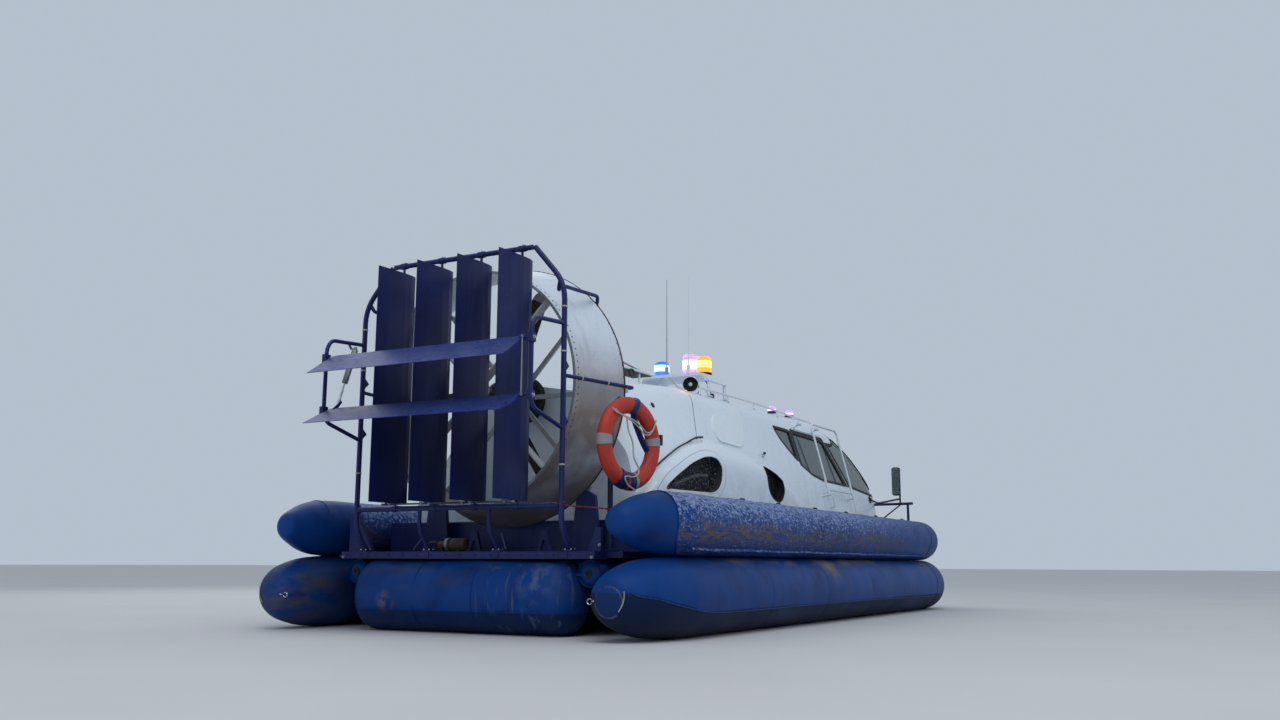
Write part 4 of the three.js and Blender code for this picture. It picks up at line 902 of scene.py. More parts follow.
def blade_ring(radial, around, place, thick):
    """The blade's outline at a place: ten times its distance out, its chord, a hundredth of its pitch."""
    turn, ring = place.z * 100 * pi / 180, []
    for angle in turns(BLADE_SIDES):
        a, b = cos(angle), sin(angle)
        u = a * place.y / 2
        v = b * thick * 0.42 * (1 - 0.35 * a) + 0.12 * thick * (1 - a * a)
        level = Vector((PROP_X, 0, DUCT_Z)) + radial * place.x / 10 + around * (u * cos(turn) - v * sin(turn))
        ring.append(level + Vector((u * sin(turn) + v * cos(turn), 0, 0)))
    return ring


def grown_ring(ring):
    middle = sum(ring, Vector()) / BLADE_SIDES
    return [middle + (p - middle) * BAND_GROWTH for p in ring]


def propeller():
    shape = Shape()
    centre = (PROP_X, 0, DUCT_Z)
    stations = spline([(r * 10, chord, pitch / 100) for r, chord, _, pitch in BLADE], 5)
    thickness = spline([(r * 10, thick, 0) for r, _, thick, _ in BLADE], 5)
    for number in range(3):
        angle = radians(FIRST_BLADE + 120 * number)
        radial, around = Vector((0, cos(angle), sin(angle))), Vector((0, -sin(angle), cos(angle)))
        rows = [blade_ring(radial, around, place, thick.y) for place, thick in zip(stations, thickness)]
        shape.rows(rows)
        shape.rows([grown_ring(row) for row, place in zip(rows, stations) if place.x > BAND_FROM * 10], 1)
    shape.turned(smooth_profile(HUB, 4, 0.1148), centre, AHEAD, 40, 2)
    for angle in turns(8):
        bolt = (PROP_X - 0.068, 0.07 * cos(angle), DUCT_Z + 0.07 * sin(angle))
        shape.bolt(bolt, ASTERN, 0.007, 0.012, 2)
    shape.turned(SHAFT, (0, 0, DUCT_Z), AHEAD, 28, 2)
    pulley = [(-0.032, 0.031), (-0.032, 0.208)]
    for i in range(7):
        pulley += [(-0.026 + 0.008 * i, 0.208), (-0.022 + 0.008 * i, 0.201)]
    pulley += [(0.032, 0.208), (0.032, 0.031)]
    shape.turned(pulley, (-2.87, 0, DUCT_Z), AHEAD, 56, 2)
    finishes = [BLACK, BAND, HUB_BLACK]
    piece("propeller_blades", shape, finishes, "propeller", ["propeller"], smooth=45)


# Tube frame with its stays, gussets, ties and brackets

FRAME_X, FRAME_Y = -3.84, 1.03
FOOT_X, FOOT_TOP = -3.7, 0.664
PIVOT_X = -4.293
DUCT_FRONT, STAY_END, STAY_Z = -3.023, -3.01, 2.01
TOP_Z, CROSS_Z = 3.085, 1.0
RUDDER_YS = (-0.615, -0.205, 0.205, 0.615)


def foot(shape, y):
    shape.block((FOOT_X - 0.045, y - 0.04, LEDGE_Z), (FOOT_X + 0.035, y + 0.04, FOOT_TOP))
    for dx in (-0.032, 0.022):
        for dy in (-0.027, 0.027):
            shape.bolt((FOOT_X + dx, y + dy, FOOT_TOP), UP, 0.007, 0.008, 1)


def tie(shape, point, axis, inner, outer, sides):
    """A pale cord tied round a tube."""
    shape.turned([(-0.006, inner), (-0.004, outer), (0.004, outer), (0.006, inner)], point, axis, sides, 2)


def frame_side(side, s):
    """A post with its two stays to the duct, the vanes' bracket, gussets and ties."""
    y = s * FRAME_Y
    post = [(FOOT_X, y, FOOT_TOP), (FRAME_X, y, 0.83), (FRAME_X, y, 2.75), (FRAME_X, s * 0.74, TOP_Z)]
    upper = [(FRAME_X, s * 0.985, 2.79), (FRAME_X + 0.03, s * 0.95, 2.705), (FRAME_X + 0.2, s * 0.88, 2.79),
             (DUCT_FRONT, s * 0.85, 2.83), (DUCT_FRONT, s * 0.835, 2.742)]
    lower = [(FRAME_X, y, STAY_Z), (STAY_END, s * 1.19, STAY_Z), (STAY_END, s * 1.152, STAY_Z)]
    bracket = [(FRAME_X, 2.425), (PIVOT_X + 0.05, 2.4), (PIVOT_X, 2.32), (PIVOT_X, 1.76),
               (PIVOT_X + 0.05, 1.7), (FRAME_X, 1.59)]
    shape = Shape().sweep(rounded(post, 0.14), 0.022, 16)
    shape.sweep(rounded(upper, 0.05), 0.016, 12)
    shape.sweep(rounded(lower, 0.03), 0.016, 12)
    shape.sweep(rounded([(x, y, z) for x, z in bracket], 0.09), 0.017, 12)
    for z in (2.09, 1.65, CROSS_Z):
        gusset = [(FRAME_X - 0.008, z - 0.075), (FRAME_X + 0.075, z), (FRAME_X - 0.008, z + 0.075)]
        shape.prism(gusset, 1, y - 0.005, y + 0.005)
    for z in (2.235, 1.795):
        shape.block((PIVOT_X - 0.03, y - 0.02, z - 0.035), (PIVOT_X + 0.03, y + 0.02, z + 0.035))
        shape.bolt((PIVOT_X, y + s * 0.02, z), (0, s, 0), 0.011, 0.012, 1)
    for z in (2.56, 2.2, 1.31):
        tie(shape, (FRAME_X, y, z), UP, 0.0235, 0.026, 14)
    for t in (0.25, 0.62):
        spot = (FRAME_X + t * 0.83, s * (FRAME_Y + t * 0.16), STAY_Z)
        tie(shape, spot, (1, 0.19 * s, 0), 0.017, 0.02, 12)
    if s > 0:
        shape.sweep([(-4.04, FRAME_Y, 2.41), (-4.04, 0.993, 2.354)], 0.01, 8)
        shape.sweep([(-4.04, 0.995, 2.36), (-4.04, 0.961, 2.36)], 0.007, 8, 1)
    foot(shape, y)
    piece(f"frame_tubes_{side}", shape, [NAVY, STEEL, ROPE], nodes=[f"frame_{side}"])


def tube_frame():
    for side, s in SIDES:
        frame_side(side, s)
    top = Shape().sweep([(FRAME_X, -0.716, TOP_Z), (FRAME_X, 0.716, TOP_Z)], 0.022, 16)
    for y in RUDDER_YS:
        top.sleeve((FRAME_X, y, TOP_Z), PORT, 0.023, 0.028, -0.03, 0.03)
        top.bolt((FRAME_X, y, 3.108), UP, 0.009, 0.012, 1)
    piece("frame_top_tube", top, [NAVY, STEEL], nodes=["frame_top"])
    low = Shape().sweep([(FRAME_X, -1.007, CROSS_Z), (FRAME_X, 1.007, CROSS_Z)], 0.022, 16)
    for y in (-0.35, 0.35):
        leg = [(FRAME_X, y, CROSS_Z), (FRAME_X, y, 0.83), (FOOT_X, y, FOOT_TOP)]
        low.sweep(rounded(leg, 0.07), 0.018, 12)
        foot(low, y)
    for y in RUDDER_YS:
        low.sleeve((FRAME_X, y, CROSS_Z), PORT, 0.023, 0.028, -0.025, 0.025)
    piece("frame_crossbar_tube", low, [NAVY, STEEL], nodes=["frame_crossbar"])


def tie_rod():
    """The level rod that turns the rudders together, with its eyes and lock nuts."""
    x, z = FRAME_X - 0.11, 1.031
    shape = Shape().sweep([(x, -0.64, z), (x, 0.64, z)], 0.0075, 12)
    for y in RUDDER_YS:
        shape.turned([(0, 0.014), (0.016, 0.014), (0.019, 0.01), (0.019, 0)], (x, y, z - 0.008), UP, 16)
        for d in (-0.04, 0.04):
            shape.sleeve((x, y + d, z), PORT, 0, 0.011, -0.008, 0.008, 6, 1)
    piece("rudder_tie_rod_round", shape, [ROD_BLUE, GREY], "rudder_tie_rod", ["rudder_tie_rod"])


# Lifebuoy with its bands, lines and strap, and its stand

BUOY = Vector((-3.48, -1.42, 1.49))
BUOY_TURN = Matrix.Rotation(radians(-10), 3, "Z")
BUOY_RADIUS, BUOY_WIDE, BUOY_DEEP = 0.3, 0.067, 0.0536
BUOY_BANDS = (  # paint, growth, angles and half length of the bands
    (1, 0.0035, (0.1, pi - 0.02, pi * 1.5 + 0.1), 0.115),
    (2, 0.006, (4.72,), 0.1),
    (2, 0.008, (4.35,), 0.14))
BUOY_LOOP = (  # angle and distance from the middle; the strap's places also say how far out
    (2.36, 0.345), (2.32, 0.29), (2.09, 0.215), (1.62, 0.15), (1.05, 0.128), (0.55, 0.14), (0.42, 0.2),
    (0.5, 0.26), (0.6, 0.31))
BUOY_TAIL = ((2.09, 0.225), (2.2, 0.12), (3.4, 0.015), (4.7, 0.11), (5.0, 0.2), (4.85, 0.245), (4.62, 0.27),
             (4.28, 0.3), (4.45, 0.345), (4.72, 0.372))
BUOY_STRAP = ((1.36, 0.372, -0.005), (1.44, 0.345, -0.05), (1.5, 0.3, -0.064), (1.56, 0.245, -0.048),
              (1.4, 0.2, -0.02), (0.75, 0.15, -0.005), (0.15, 0.17, 0), (-0.2, 0.235, 0))
STAND_X, STAND_Y = -3.48, -1.26


def on_buoy(angle, radius, out=0.0):
    return BUOY + BUOY_TURN @ Vector((radius * cos(angle), out, radius * sin(angle)))


def buoy_ring(angle, grow=0.0):
    return [on_buoy(angle, BUOY_RADIUS + (BUOY_WIDE + grow) * cos(a), (BUOY_DEEP + grow) * sin(a))
            for a in turns(26)]


def lifebuoy():
    shape = Shape().rows([buoy_ring(angle) for angle in turns(80)], ring=True)
    for paint, grow, angles, half in BUOY_BANDS:
        for angle in angles:
            shape.rows([buoy_ring(angle - half + 2 * half * i / 6, grow) for i in range(7)], paint)
    for shift in (0.0, 0.035):
        line = [on_buoy(a + shift * 1.6, r + shift * 0.7, -0.064) for a, r in BUOY_LOOP]
        shape.sweep(spline(line, 4), 0.0055, 8, 3)
    tail = [on_buoy(a, r, -0.05 if r < 0.22 else -0.066) for a, r in BUOY_TAIL]
    shape.sweep(spline(tail, 5), 0.006, 8, 3)
    strap = spline([on_buoy(*place) for place in BUOY_STRAP], 4)
    shape.sweep(strap, 0.024, 10, 2, 0.25, side=BUOY_TURN @ Vector(AHEAD))
    clip = on_buoy(0.14, 0.372)
    shape.block(clip - Vector((0.012, 0.035, 0.04)), clip + Vector((0.022, 0.035, 0.045)), 5)
    piece("lifebuoy_ring", shape, [RED, BAND, NAVY, ROPE, GREY, RUBBER], nodes=["lifebuoy"])


def lifebuoy_stand():
    pole = [(STAND_X, STAND_Y, LEDGE_Z), (STAND_X, STAND_Y, 1.8), (STAND_X, -1.34, 1.86)]
    post = Shape().sweep(rounded(pole, 0.05), 0.016, 12)
    for z in (1.25, 1.76):
        post.sweep([(STAND_X, -1.262, z), (STAND_X, -1.33, z)], 0.012, 10)
        post.block((-3.54, -1.336, z - 0.03), (-3.42, -1.331, z + 0.03))
    post.block((-3.53, -1.31, LEDGE_Z), (-3.43, -1.21, FOOT_TOP))
    hose = [(-3.47, -1.235, 1.8), (-3.455, -1.225, 1.55), (-3.46, -1.235, 1.25), (-3.45, -1.23, 0.95),
            (-3.46, -1.235, 0.68)]
    post.sweep(spline(hose, 6), 0.017, 10, 1)
    piece("lifebuoy_stand", post, [NAVY, RUBBER], nodes=["lifebuoy_bracket"], bevel=0.002)


# Small parts on the stern beam: bolts, light rods, pump and a red lashing

BEAM_X = -3.741
ROD_X = -3.705
PUMP_X, PUMP_Z = -3.3, 0.713
PUMP = [(-0.17, THIN), (-0.168, 0.045), (-0.15, 0.055), (-0.03, 0.056), (-0.01, 0.046), (0.06, 0.044),
        (0.07, 0.03), (0.13, 0.028), (0.132, THIN)]
LASHING = 0.0035


def beam_fittings():
    shape = Shape()
    for i in range(17):
        shape.bolt((BEAM_X, -1.2 + 0.15 * i, 0.622), ASTERN, 0.006, 0.006, 1)
    for y in (-1.0, -0.35, 0.35, 1.0):
        shape.block((-3.7405, y - 0.03, 0.6), (-3.745, y + 0.03, 0.645), 1)
    for x, y, z in ((BEAM_X, -1.245, 0.605), (-3.652, -1.262, 0.7), (BEAM_X, 1.245, 0.605)):
        shape.bolt((x, y, z), ASTERN, 0.009, 0.012)
    for top_y, top_z, low_y in ((0.393, 0.789, 0.511), (-0.378, 0.796, -0.425)):
        shape.sweep([(ROD_X, top_y, top_z), (ROD_X, low_y, 0.668)], 0.0055, 8, 2)
    piece("beam_fittings", shape, [GREY, NAVY, ROD_BLUE])


def bilge_pump():
    pump = Shape().turned(smooth_profile(PUMP, 3, 1.0), (PUMP_X, 0.43, PUMP_Z), PORT, 28)
    collar = [(0, 0.058), (0.012, 0.06), (0.03, 0.058), (0.03, 0.04)]
    pump.turned(collar, (PUMP_X, 0.44, PUMP_Z), PORT, 28, 1)
    for y in (0.32, 0.5):
        pump.block((-3.35, y - 0.012, LEDGE_Z), (-3.25, y + 0.012, 0.69), 2)
    hose = [(-3.3, 0.56, 0.72), (-3.3, 0.64, 0.73), (-3.28, 0.72, 0.69), (-3.2, 0.8, 0.675),
            (-3.02, 0.86, 0.675)]
    pump.sweep(spline(hose, 5), 0.014, 10, 2)
    piece("bilge_pump", pump, [RUST, GREY, RUBBER])


def red_lashing():
    rope = Shape()
    path = spline([(-3.84, -1.053, 1.0), (-3.8, -1.1, 0.992), (-3.74, -1.2, 0.985), (-3.66, -1.3, 0.975),
                   (-3.6, -1.345, 0.966)], 8)
    for start in (0, pi):
        angles = [i * 0.9 + start for i in range(len(path))]
        strand = [p + Vector((0, LASHING * cos(a), LASHING * sin(a))) for p, a in zip(path, angles)]
        rope.sweep(strand, LASHING, 6)
    coil = [Vector((FRAME_X + 0.025 * cos(i / 3), -FRAME_Y + 0.025 * sin(i / 3), 0.985 + 0.0025 * i))
            for i in range(20)]
    rope.sweep(coil, LASHING, 6)
    piece("red_lashing", rope, [RED_ROPE])


# Cabin skin: half section at each station, rounded between the stations and at its corners

WALL = 0.04
INNER_LOW = 0.86
CABIN = [  # x, base, shoulder, its height, roof edge, its height, crown
    (-2.72, 1.12, 0.98, 1.5, 0.64, 1.93, 2.15),
    (-2.42, 1.18, 1.06, 1.6, 0.8, 2.05, 2.22),
    (-2.07, 1.22, 1.1, 1.64, 0.88, 2.12, 2.28),
    (-1.5, 1.25, 1.12, 1.66, 0.925, 2.16, 2.325),
    (0.53, 1.25, 1.12, 1.6, 0.935, 2.18, 2.35),
    (2.66, 1.25, 1.13, 1.5, 0.93, 2.16, 2.3),
    (3.2, 1.245, 1.135, 1.48, 0.985, 1.97, 2.11),
    (3.6, 1.235, 1.145, 1.455, 1.065, 1.71, 1.84),
    (3.86, 1.2, 1.15, 1.41, 1.12, 1.475, 1.57),
    (3.94, 1.14, 1.12, 1.3, 1.05, 1.37, 1.41),
    (3.97, 1.04, 1.02, 1.15, 0.93, 1.23, 1.27),
]
HATCH = [(-1.098, 1.861), (-1.08, 1.78), (-1.031, 1.751), (-0.8, 1.742), (-0.56, 1.738), (-0.456, 1.772),
         (-0.315, 1.942), (-0.225, 2.105), (-0.33, 2.112), (-0.576, 2.088), (-0.949, 2.03), (-1.06, 1.98)]
WINDOW_REAR = [(0.655, 2.06), (0.655, 2.094), (1.15, 2.094), (1.15, 1.717), (0.966, 1.815), (0.75, 1.95)]
WINDOW_DOOR = [(1.225, 1.678), (1.494, 1.59), (1.834, 1.543), (2.7, 1.528), (2.27, 2.075), (1.225, 2.09)]
DOOR_BAND = [(1.184, 1.686), (1.494, 1.584), (1.834, 1.537), (2.774, 1.522), (2.292, 2.112), (1.184, 2.112)]
FRONT_POST = [(2.799, 1.522), (2.853, 1.516), (2.404, 2.058), (2.352, 2.064)]
DOOR = [(1.18, 1.16), (2.85, 1.16), (2.85, 1.4), (2.79, 1.53), (2.3, 2.12), (1.18, 2.12)]
WINDSCREEN = [(2.4, 2.06), (2.85, 1.52), (3.88, 1.44), (4.4, 1.44), (4.4, 2.6), (2.64, 2.6),
              (2.64, 2.06)]
REAR_POST = [(1.15, 1.73), (1.176, 1.72), (1.176, 2.09), (1.15, 2.09)]
RIM, HOLE = (0.006, 0.065), (-0.026, 0.04)  # growth and corner reach of the rubber's two edges
SEAM_LOW, SEAM_HIGH = (-1.576, 1.712), (-1.331, 2.188)


def between(table, x, column):
    """A column of the table at x, on the straight line between two rows."""
    for a, b in zip(table, table[1:]):
        if x <= b[0]:
            return a[column] + (b[column] - a[column]) * (x - a[0]) / (b[0] - a[0])
    return table[-1][column]


def soft(table, x, column, reach=0.17):
    """The same, averaged over a stretch of the hull, so that no crease shows at a station."""
    reach = max(0.0, min(reach, x - table[0][0], table[-1][0] - x))
    return sum(between(table, x + reach * (i / 4 - 1), column) for i in range(9)) / 9


def soften(corners, counts, reach=0.06):
    """Points on a line of corners, each averaged over a stretch of it, so that its corners are round."""
    corners = [Vector(c) for c in corners]
    starts = [0.0]
    for a, b in zip(corners, corners[1:]):
        starts.append(starts[-1] + (b - a).length)

    def at(s):
        for i in range(len(corners) - 1):
            if s <= starts[i + 1] or i == len(corners) - 2:
                length = max(starts[i + 1] - starts[i], 1e-9)
                return corners[i].lerp(corners[i + 1], min(max((s - starts[i]) / length, 0.0), 1.0))

    places = [starts[i] + (starts[i + 1] - starts[i]) * k / count for i, count in enumerate(counts)
              for k in range(count)]
    line = []
    for s in [*places, starts[-1]]:
        r = min(reach, s, starts[-1] - s)
        line.append(sum((at(s + r * (k / 4 - 1)) for k in range(9)), Vector((0, 0))) / 9)
    return line


def cabin_section(x, inset=0.0, low=DECK_Z):
    """The cabin's outline across the hull at x, from port to starboard."""
    base, shoulder, shoulder_z, roof, roof_z, crown = (soft(CABIN, x, i) for i in range(1, 7))
    half = [(base - inset, low), (base - inset, low + 0.01), (shoulder - inset, shoulder_z),
            (roof - inset, roof_z - inset * 0.7),
            (roof - 0.13 - inset * 0.6, roof_z + (crown - roof_z) * 0.6 - inset)]
    corners = [*half, (0.0, crown - inset), *((-y, z) for y, z in reversed(half))]
    return soften(corners, [1, 12, 12, 5, 7, 7, 5, 12, 12, 1])


def cabin_loft(inset, low=DECK_Z):
    first, last = CABIN[0][0] + inset, CABIN[-1][0] - inset
    xs = [first + (last - first) * i / 86 for i in range(87)]
    return Shape().rows([[(x, p.x, p.y) for p in cabin_section(x, inset, low)] for x in xs])


def cabin_y(x, z):
    """How far out the cabin's skin is at x and z."""
    line = [p for p in cabin_section(x) if p.x >= 0]
    for a, b in zip(line, line[1:]):
        if a.y <= z <= b.y:
            return a.x + (b.x - a.x) * (z - a.y) / max(b.y - a.y, 1e-6)
    return line[-1].x


def on_cabin(x, z, s, out=0.0):
    y = cabin_y(x, z)
    slope = (cabin_y(x, z + 0.03) - cabin_y(x, z - 0.03)) / 0.06
    normal = Vector((0, 1, -slope)).normalized()
    return Vector((x, s * (y + normal.y * out), z + normal.z * out)), Vector((0, s * normal.y, normal.z))


def through(line, s=0):
    """A solid from an outline drawn along the craft, through one side of it or through both."""
    return Shape().prism(line, 1, *{-1: (-3.0, -0.3), 0: (-3.0, 3.0), 1: (0.3, 3.0)}[s])


def opening(line, s=0, grow=0.0, reach=0.05):
    return through(outline(line, grow, reach), s)


def layer_of_cabin(outside, inside, *steps):
    """The layer between two distances inside the cabin's skin, open below."""
    return carved(cabin_loft(outside), cut(cabin_loft(inside, INNER_LOW)), *steps)


def seam_block(rear, gap=0.0015):
    """All that lies behind, or ahead of, the slanted seam between the engine cowl and the cabin."""
    (xa, za), (xb, zb) = SEAM_LOW, SEAM_HIGH
    lean = (xb - xa) / (zb - za)
    low, high = xa + lean * (0.5 - za), xa + lean * (3.0 - za)
    if rear:
        return through([(-4.0, 0.5), (low - gap, 0.5), (high - gap, 3.0), (-4.0, 3.0)])
    return through([(low + gap, 0.5), (5.0, 0.5), (5.0, 3.0), (high + gap, 3.0)])


def lining(centre, normal):
    """Faces that look into the cabin get its dark lining, near-black as painted shade of the cabin's inside.
    """
    out = Vector((0, centre.y, centre.z - 1.3)).normalized()
    if abs(normal.x) > 0.9:
        return 1 if normal.x * centre.x < 0 and abs(centre.x) > 2.6 else 0
    return 1 if normal.dot(out) < -0.25 else 0


def engine_cowl(shell):
    wall = carved(cabin_loft(0.0405), keep(Shape().block((-1.521, -3, 0.9), (-1.481, 3, 3))))
    whole = cleaned(merge(carved(shell, keep(seam_block(True))), wall))
    panel("engine_cowl_skin", whole, [WHITE, LINING_AND_SHADE], nodes=["engine_cowl"], paint=lining)
    bearing = [(-2.755, 0), (-2.755, 0.062), (-2.747, 0.07), (-2.7, 0.07), (-2.7, 0)]
    piece("shaft_bearing", Shape().turned(bearing, (0, 0, DUCT_Z), AHEAD), [GREY])


def side_panels(side, s, shell, pane, rubber):
    """One side's door and windows, with their panes and the rubber round them."""
    body = f"door_{side}"
    door = carved(shell, keep(opening(DOOR, s, 0, 0.09)), cut(opening(WINDOW_DOOR, s)))
    panel(f"door_panel_{side}", door, [WHITE, LINING_AND_SHADE], body, [body], paint=lining)
    hole = opening(WINDOW_DOOR, s, *HOLE)
    borders = (
        (f"door_border_{side}", (keep(opening(DOOR_BAND, s, 0, 0.02)), cut(hole)), body),
        (f"front_post_{side}", (keep(through(FRONT_POST, s)),), "craft"),
        (f"rear_border_{side}", (keep(opening(WINDOW_REAR, s, *RIM)), cut(opening(WINDOW_REAR, s, *HOLE))),
         "craft"))
    for name, steps, carrier in borders:
        panel(name, carved(rubber, *steps), [RUBBER], carrier)
    panes = (("door", WINDOW_DOOR, "door_glass", body), ("rear", WINDOW_REAR, "side_glass", "craft"))
    for name, line, node, carrier in panes:
        window = carved(pane, keep(opening(line, s, -0.001)))
        panel(f"{name}_pane_{side}", window, [GLASS], carrier, [f"{node}_{side}"])
    cover = layer_of_cabin(-0.015, 0.003, keep(opening(HATCH, s, 0, 0.08)))
    panel(f"hatch_cover_{side}", cover, [HATCH_WHITE], bevel=0.007)
    panel(f"window_post_{side}", carved(rubber, keep(through(REAR_POST, s))), [RUBBER])


def cabin_trim(trim, s):
    """One side's seam, vent, mushroom light, roof edge and studs."""
    (xa, za), (xb, zb) = SEAM_LOW, SEAM_HIGH
    places = [i / 12 for i in range(13)]
    seam = [on_cabin(xa + (xb - xa) * t, za + (zb - za) * t, s, -0.001)[0] for t in places]
    trim.sweep(seam, 0.0035, 6)
    vent = [(-0.004, 0.026), (0.004, 0.026), (0.006, 0.026 * 0.8), (0.006, 0)]
    trim.turned(vent, *on_cabin(-2.137, 1.988, s), 20)
    spot, normal = on_cabin(0.033, 1.693, s)
    base = [(-0.002, 0.03), (0.004, 0.028), (0.006, 0.012), (0.03, 0.012), (0.03, 0)]
    trim.turned(base, spot, normal, 16, 1)
    lens = spot + normal * 0.024 + Vector((0, 0, 0.012))
    trim.turned([(0, 0.016), (0.022, 0.014), (0.022, 0)], lens, UP, 12, 2)
    edge = [Vector((x, s * (soft(CABIN, x, 4) - 0.01), soft(CABIN, x, 5) - 0.006))
            for x in [2.7 + 0.08 * i for i in range(15)]]
    trim.sweep(edge, 0.016, 10, 0, 0.6)
    for x, z in ((-1.3, 1.8), (-0.9, 1.7), (0.45, 1.9), (0.3, 1.56), (-1.25, 2.05)):
        trim.turned([(0, 0.006), (0.003, 0.005), (0.003, 0)], *on_cabin(x, z, s, -0.0005), 8, 1)


def cabin():
    shell = layer_of_cabin(0.0, WALL)
    pane = layer_of_cabin(0.01, 0.02)
    rubber = layer_of_cabin(-0.002, 0.03)
    skin = carved(shell, keep(seam_block(False)), cut(opening(DOOR, 0, 0.006, 0.09)),
                  cut(opening(WINDOW_REAR)), cut(opening(WINDSCREEN)))
    nodes = ["cabin_side_starboard", "cabin_side_port", "cabin_roof", "cabin_nose"]
    panel("cabin_skin", skin, [WHITE, LINING_AND_SHADE], nodes=nodes, paint=lining)
    engine_cowl(shell)
    for side, s in SIDES:
        side_panels(side, s, shell, pane, rubber)
    border = carved(rubber, keep(opening(WINDSCREEN, 0, *RIM)), cut(opening(WINDSCREEN, 0, *HOLE)))
    panel("windscreen_border", border, [RUBBER])
    front = carved(pane, keep(opening(WINDSCREEN, 0, -0.001)))
    panel("windscreen_pane", front, [SCREEN], nodes=["windscreen"])
    trim = Shape()
    for _, s in SIDES:
        cabin_trim(trim, s)
    piece("cabin_trim", trim, [RUBBER, STEEL, BLACK])


# What a door carries: pipe ladder, handle and hinge arms

HINGE_Y, HINGE_Z = 1.02, 2.18
LADDER_XS = (1.72, 2.63)
LADDER_LOW, LADDER_HIGH = (1.236, 1.38), (1.022, 2.225)


def hinge_arms(shape, s, xs, root_y, root_z, end):
    """Arms from the roof or the door up to the hinge line, with an eye at the end of each."""
    for x in xs:
        eye = (x, s * HINGE_Y, HINGE_Z)
        shape.sweep([(x, s * root_y, root_z), eye], 0.009, 10)
        shape.sleeve(eye, AHEAD, 0.006, 0.014, -0.022, end, 14)


def door_pipes():
    (low_y, low_z), (high_y, high_z) = LADDER_LOW, LADDER_HIGH
    rear, front = LADDER_XS
    handle = [(1.89, 1.16, 1.385), (1.89, 1.222, 1.376), (1.9, 1.245, 1.236), (1.9, 1.18, 1.228)]
    for side, s in SIDES:
        ladder = [(rear, s * low_y, low_z), (rear, s * high_y, high_z), (front, s * high_y, high_z),
                  (front, s * low_y, low_z)]
        shape = Shape().sweep(rounded(ladder, 0.07), 0.014, 12)
        shape.sweep([(rear, s * 1.223, 1.43), (front, s * 1.223, 1.43)], 0.011, 10)
        for x in LADDER_XS:
            end = [(x, s * low_y, 1.4), (x, s * 1.24, 1.37), (x - 0.025, s * 1.14, 1.355)]
            shape.sweep(rounded(end, 0.03), 0.012, 10)
            flange = [(0, 0.03), (0.005, 0.028), (0.007, 0.012), (0.007, 0)]
            shape.turned(flange, *on_cabin(x - 0.025, 1.355, s, -0.002), 16)
        shape.sweep(rounded([(x, s * y, z) for x, y, z in handle], 0.03), 0.009, 10)
        hinge_arms(shape, s, (1.31, 1.91), 0.932, 2.106, 0.0265)
        piece(f"door_pipes_{side}", shape, [WHITE_PIPE], f"door_{side}")
    arms = Shape()
    for _, s in SIDES:
        hinge_arms(arms, s, (1.36, 1.96), 0.925, 2.145, 0.022)
    piece("roof_hinge_arms", arms, [WHITE_PIPE])


# Side fairings with their intakes

FAIRING = [  # x, outer side, crest's distance out, side's height, crest's height, height at the cabin
    (-2.79, 1.24, 1.2, 1.09, 1.18, 1.05),
    (-2.56, 1.35, 1.27, 1.3, 1.43, 1.25),
    (-2.2, 1.385, 1.29, 1.44, 1.59, 1.47),
    (-1.85, 1.395, 1.29, 1.52, 1.665, 1.665),
    (-1.3, 1.395, 1.29, 1.52, 1.65, 1.8),
    (-0.7, 1.395, 1.29, 1.5, 1.6, 1.75),
    (-0.1, 1.39, 1.29, 1.42, 1.52, 1.67),
    (0.45, 1.37, 1.28, 1.24, 1.36, 1.48),
    (0.9, 1.32, 1.262, 1.08, 1.16, 1.24),
]
INTAKE = [
    (-2.63, 1.185), (-2.6, 1.225), (-2.46, 1.327), (-2.235, 1.437), (-1.99, 1.511), (-1.861, 1.525),
    (-1.765, 1.518), (-1.695, 1.483), (-1.654, 1.427), (-1.648, 1.363), (-1.663, 1.303), (-1.714, 1.242),
    (-1.798, 1.202), (-1.894, 1.185)]
OVAL = [(-0.588, 1.52), (-0.52, 1.54), (-0.457, 1.538), (-0.303, 1.513), (-0.182, 1.473), (-0.113, 1.415),
        (-0.09, 1.337), (-0.102, 1.27), (-0.159, 1.208), (-0.239, 1.18), (-0.335, 1.186), (-0.453, 1.226),
        (-0.527, 1.286), (-0.558, 1.36), (-0.58, 1.436)]


GASKET = ((-2.5, 1.3), (-2.368, 1.389), (-2.15, 1.51), (-1.942, 1.612), (-1.75, 1.685), (-1.579, 1.735),
          (-1.43, 1.755))
INTAKE_REACH, OVAL_REACH = 0.1, 0.05
FLOOR_Y = 1.275
STRETCH = 0.2
ROOT_Y = 1.0
SHOULDER = 0.075


def fairing_loft(inset=0.0):
    first, last = FAIRING[0][0] + inset, FAIRING[-1][0] - inset
    rows = []
    for i in range(71):
        x = first + (last - first) * i / 70
        out, top, z, crest, root = (soft(FAIRING, x, c, STRETCH) for c in range(1, 6))
        front = min(1.0, max(0.0, (x - last + 0.3) / 0.3))
        thin = sqrt(max(1 - front ** 2, 0.0)) * 0.75 + 0.25
        out, top = 1.245 + (out - 1.245) * thin, 1.2 + (top - 1.2) * thin
        corners = [(out - inset, DECK_Z), (out - inset, z), (top - inset * 0.6, crest - inset),
                   (ROOT_Y, root - inset)]
        section = soften(corners, [10, 10, 14], SHOULDER)
        rows.append([(x, p.x, p.y) for p in section] + [(x, ROOT_Y, DECK_Z)])
    return Shape().rows(rows)


def mirrored(mesh, s):
    """The mesh itself on the port side, and its mirror image on the starboard side."""
    if s > 0:
        return mesh.copy()
    whole = Shape()
    whole.points = [(v.co.x, -v.co.y, v.co.z) for v in mesh.vertices]
    for polygon in mesh.polygons:
        whole.face(tuple(reversed(polygon.vertices)), 0)
    return cleaned(whole)


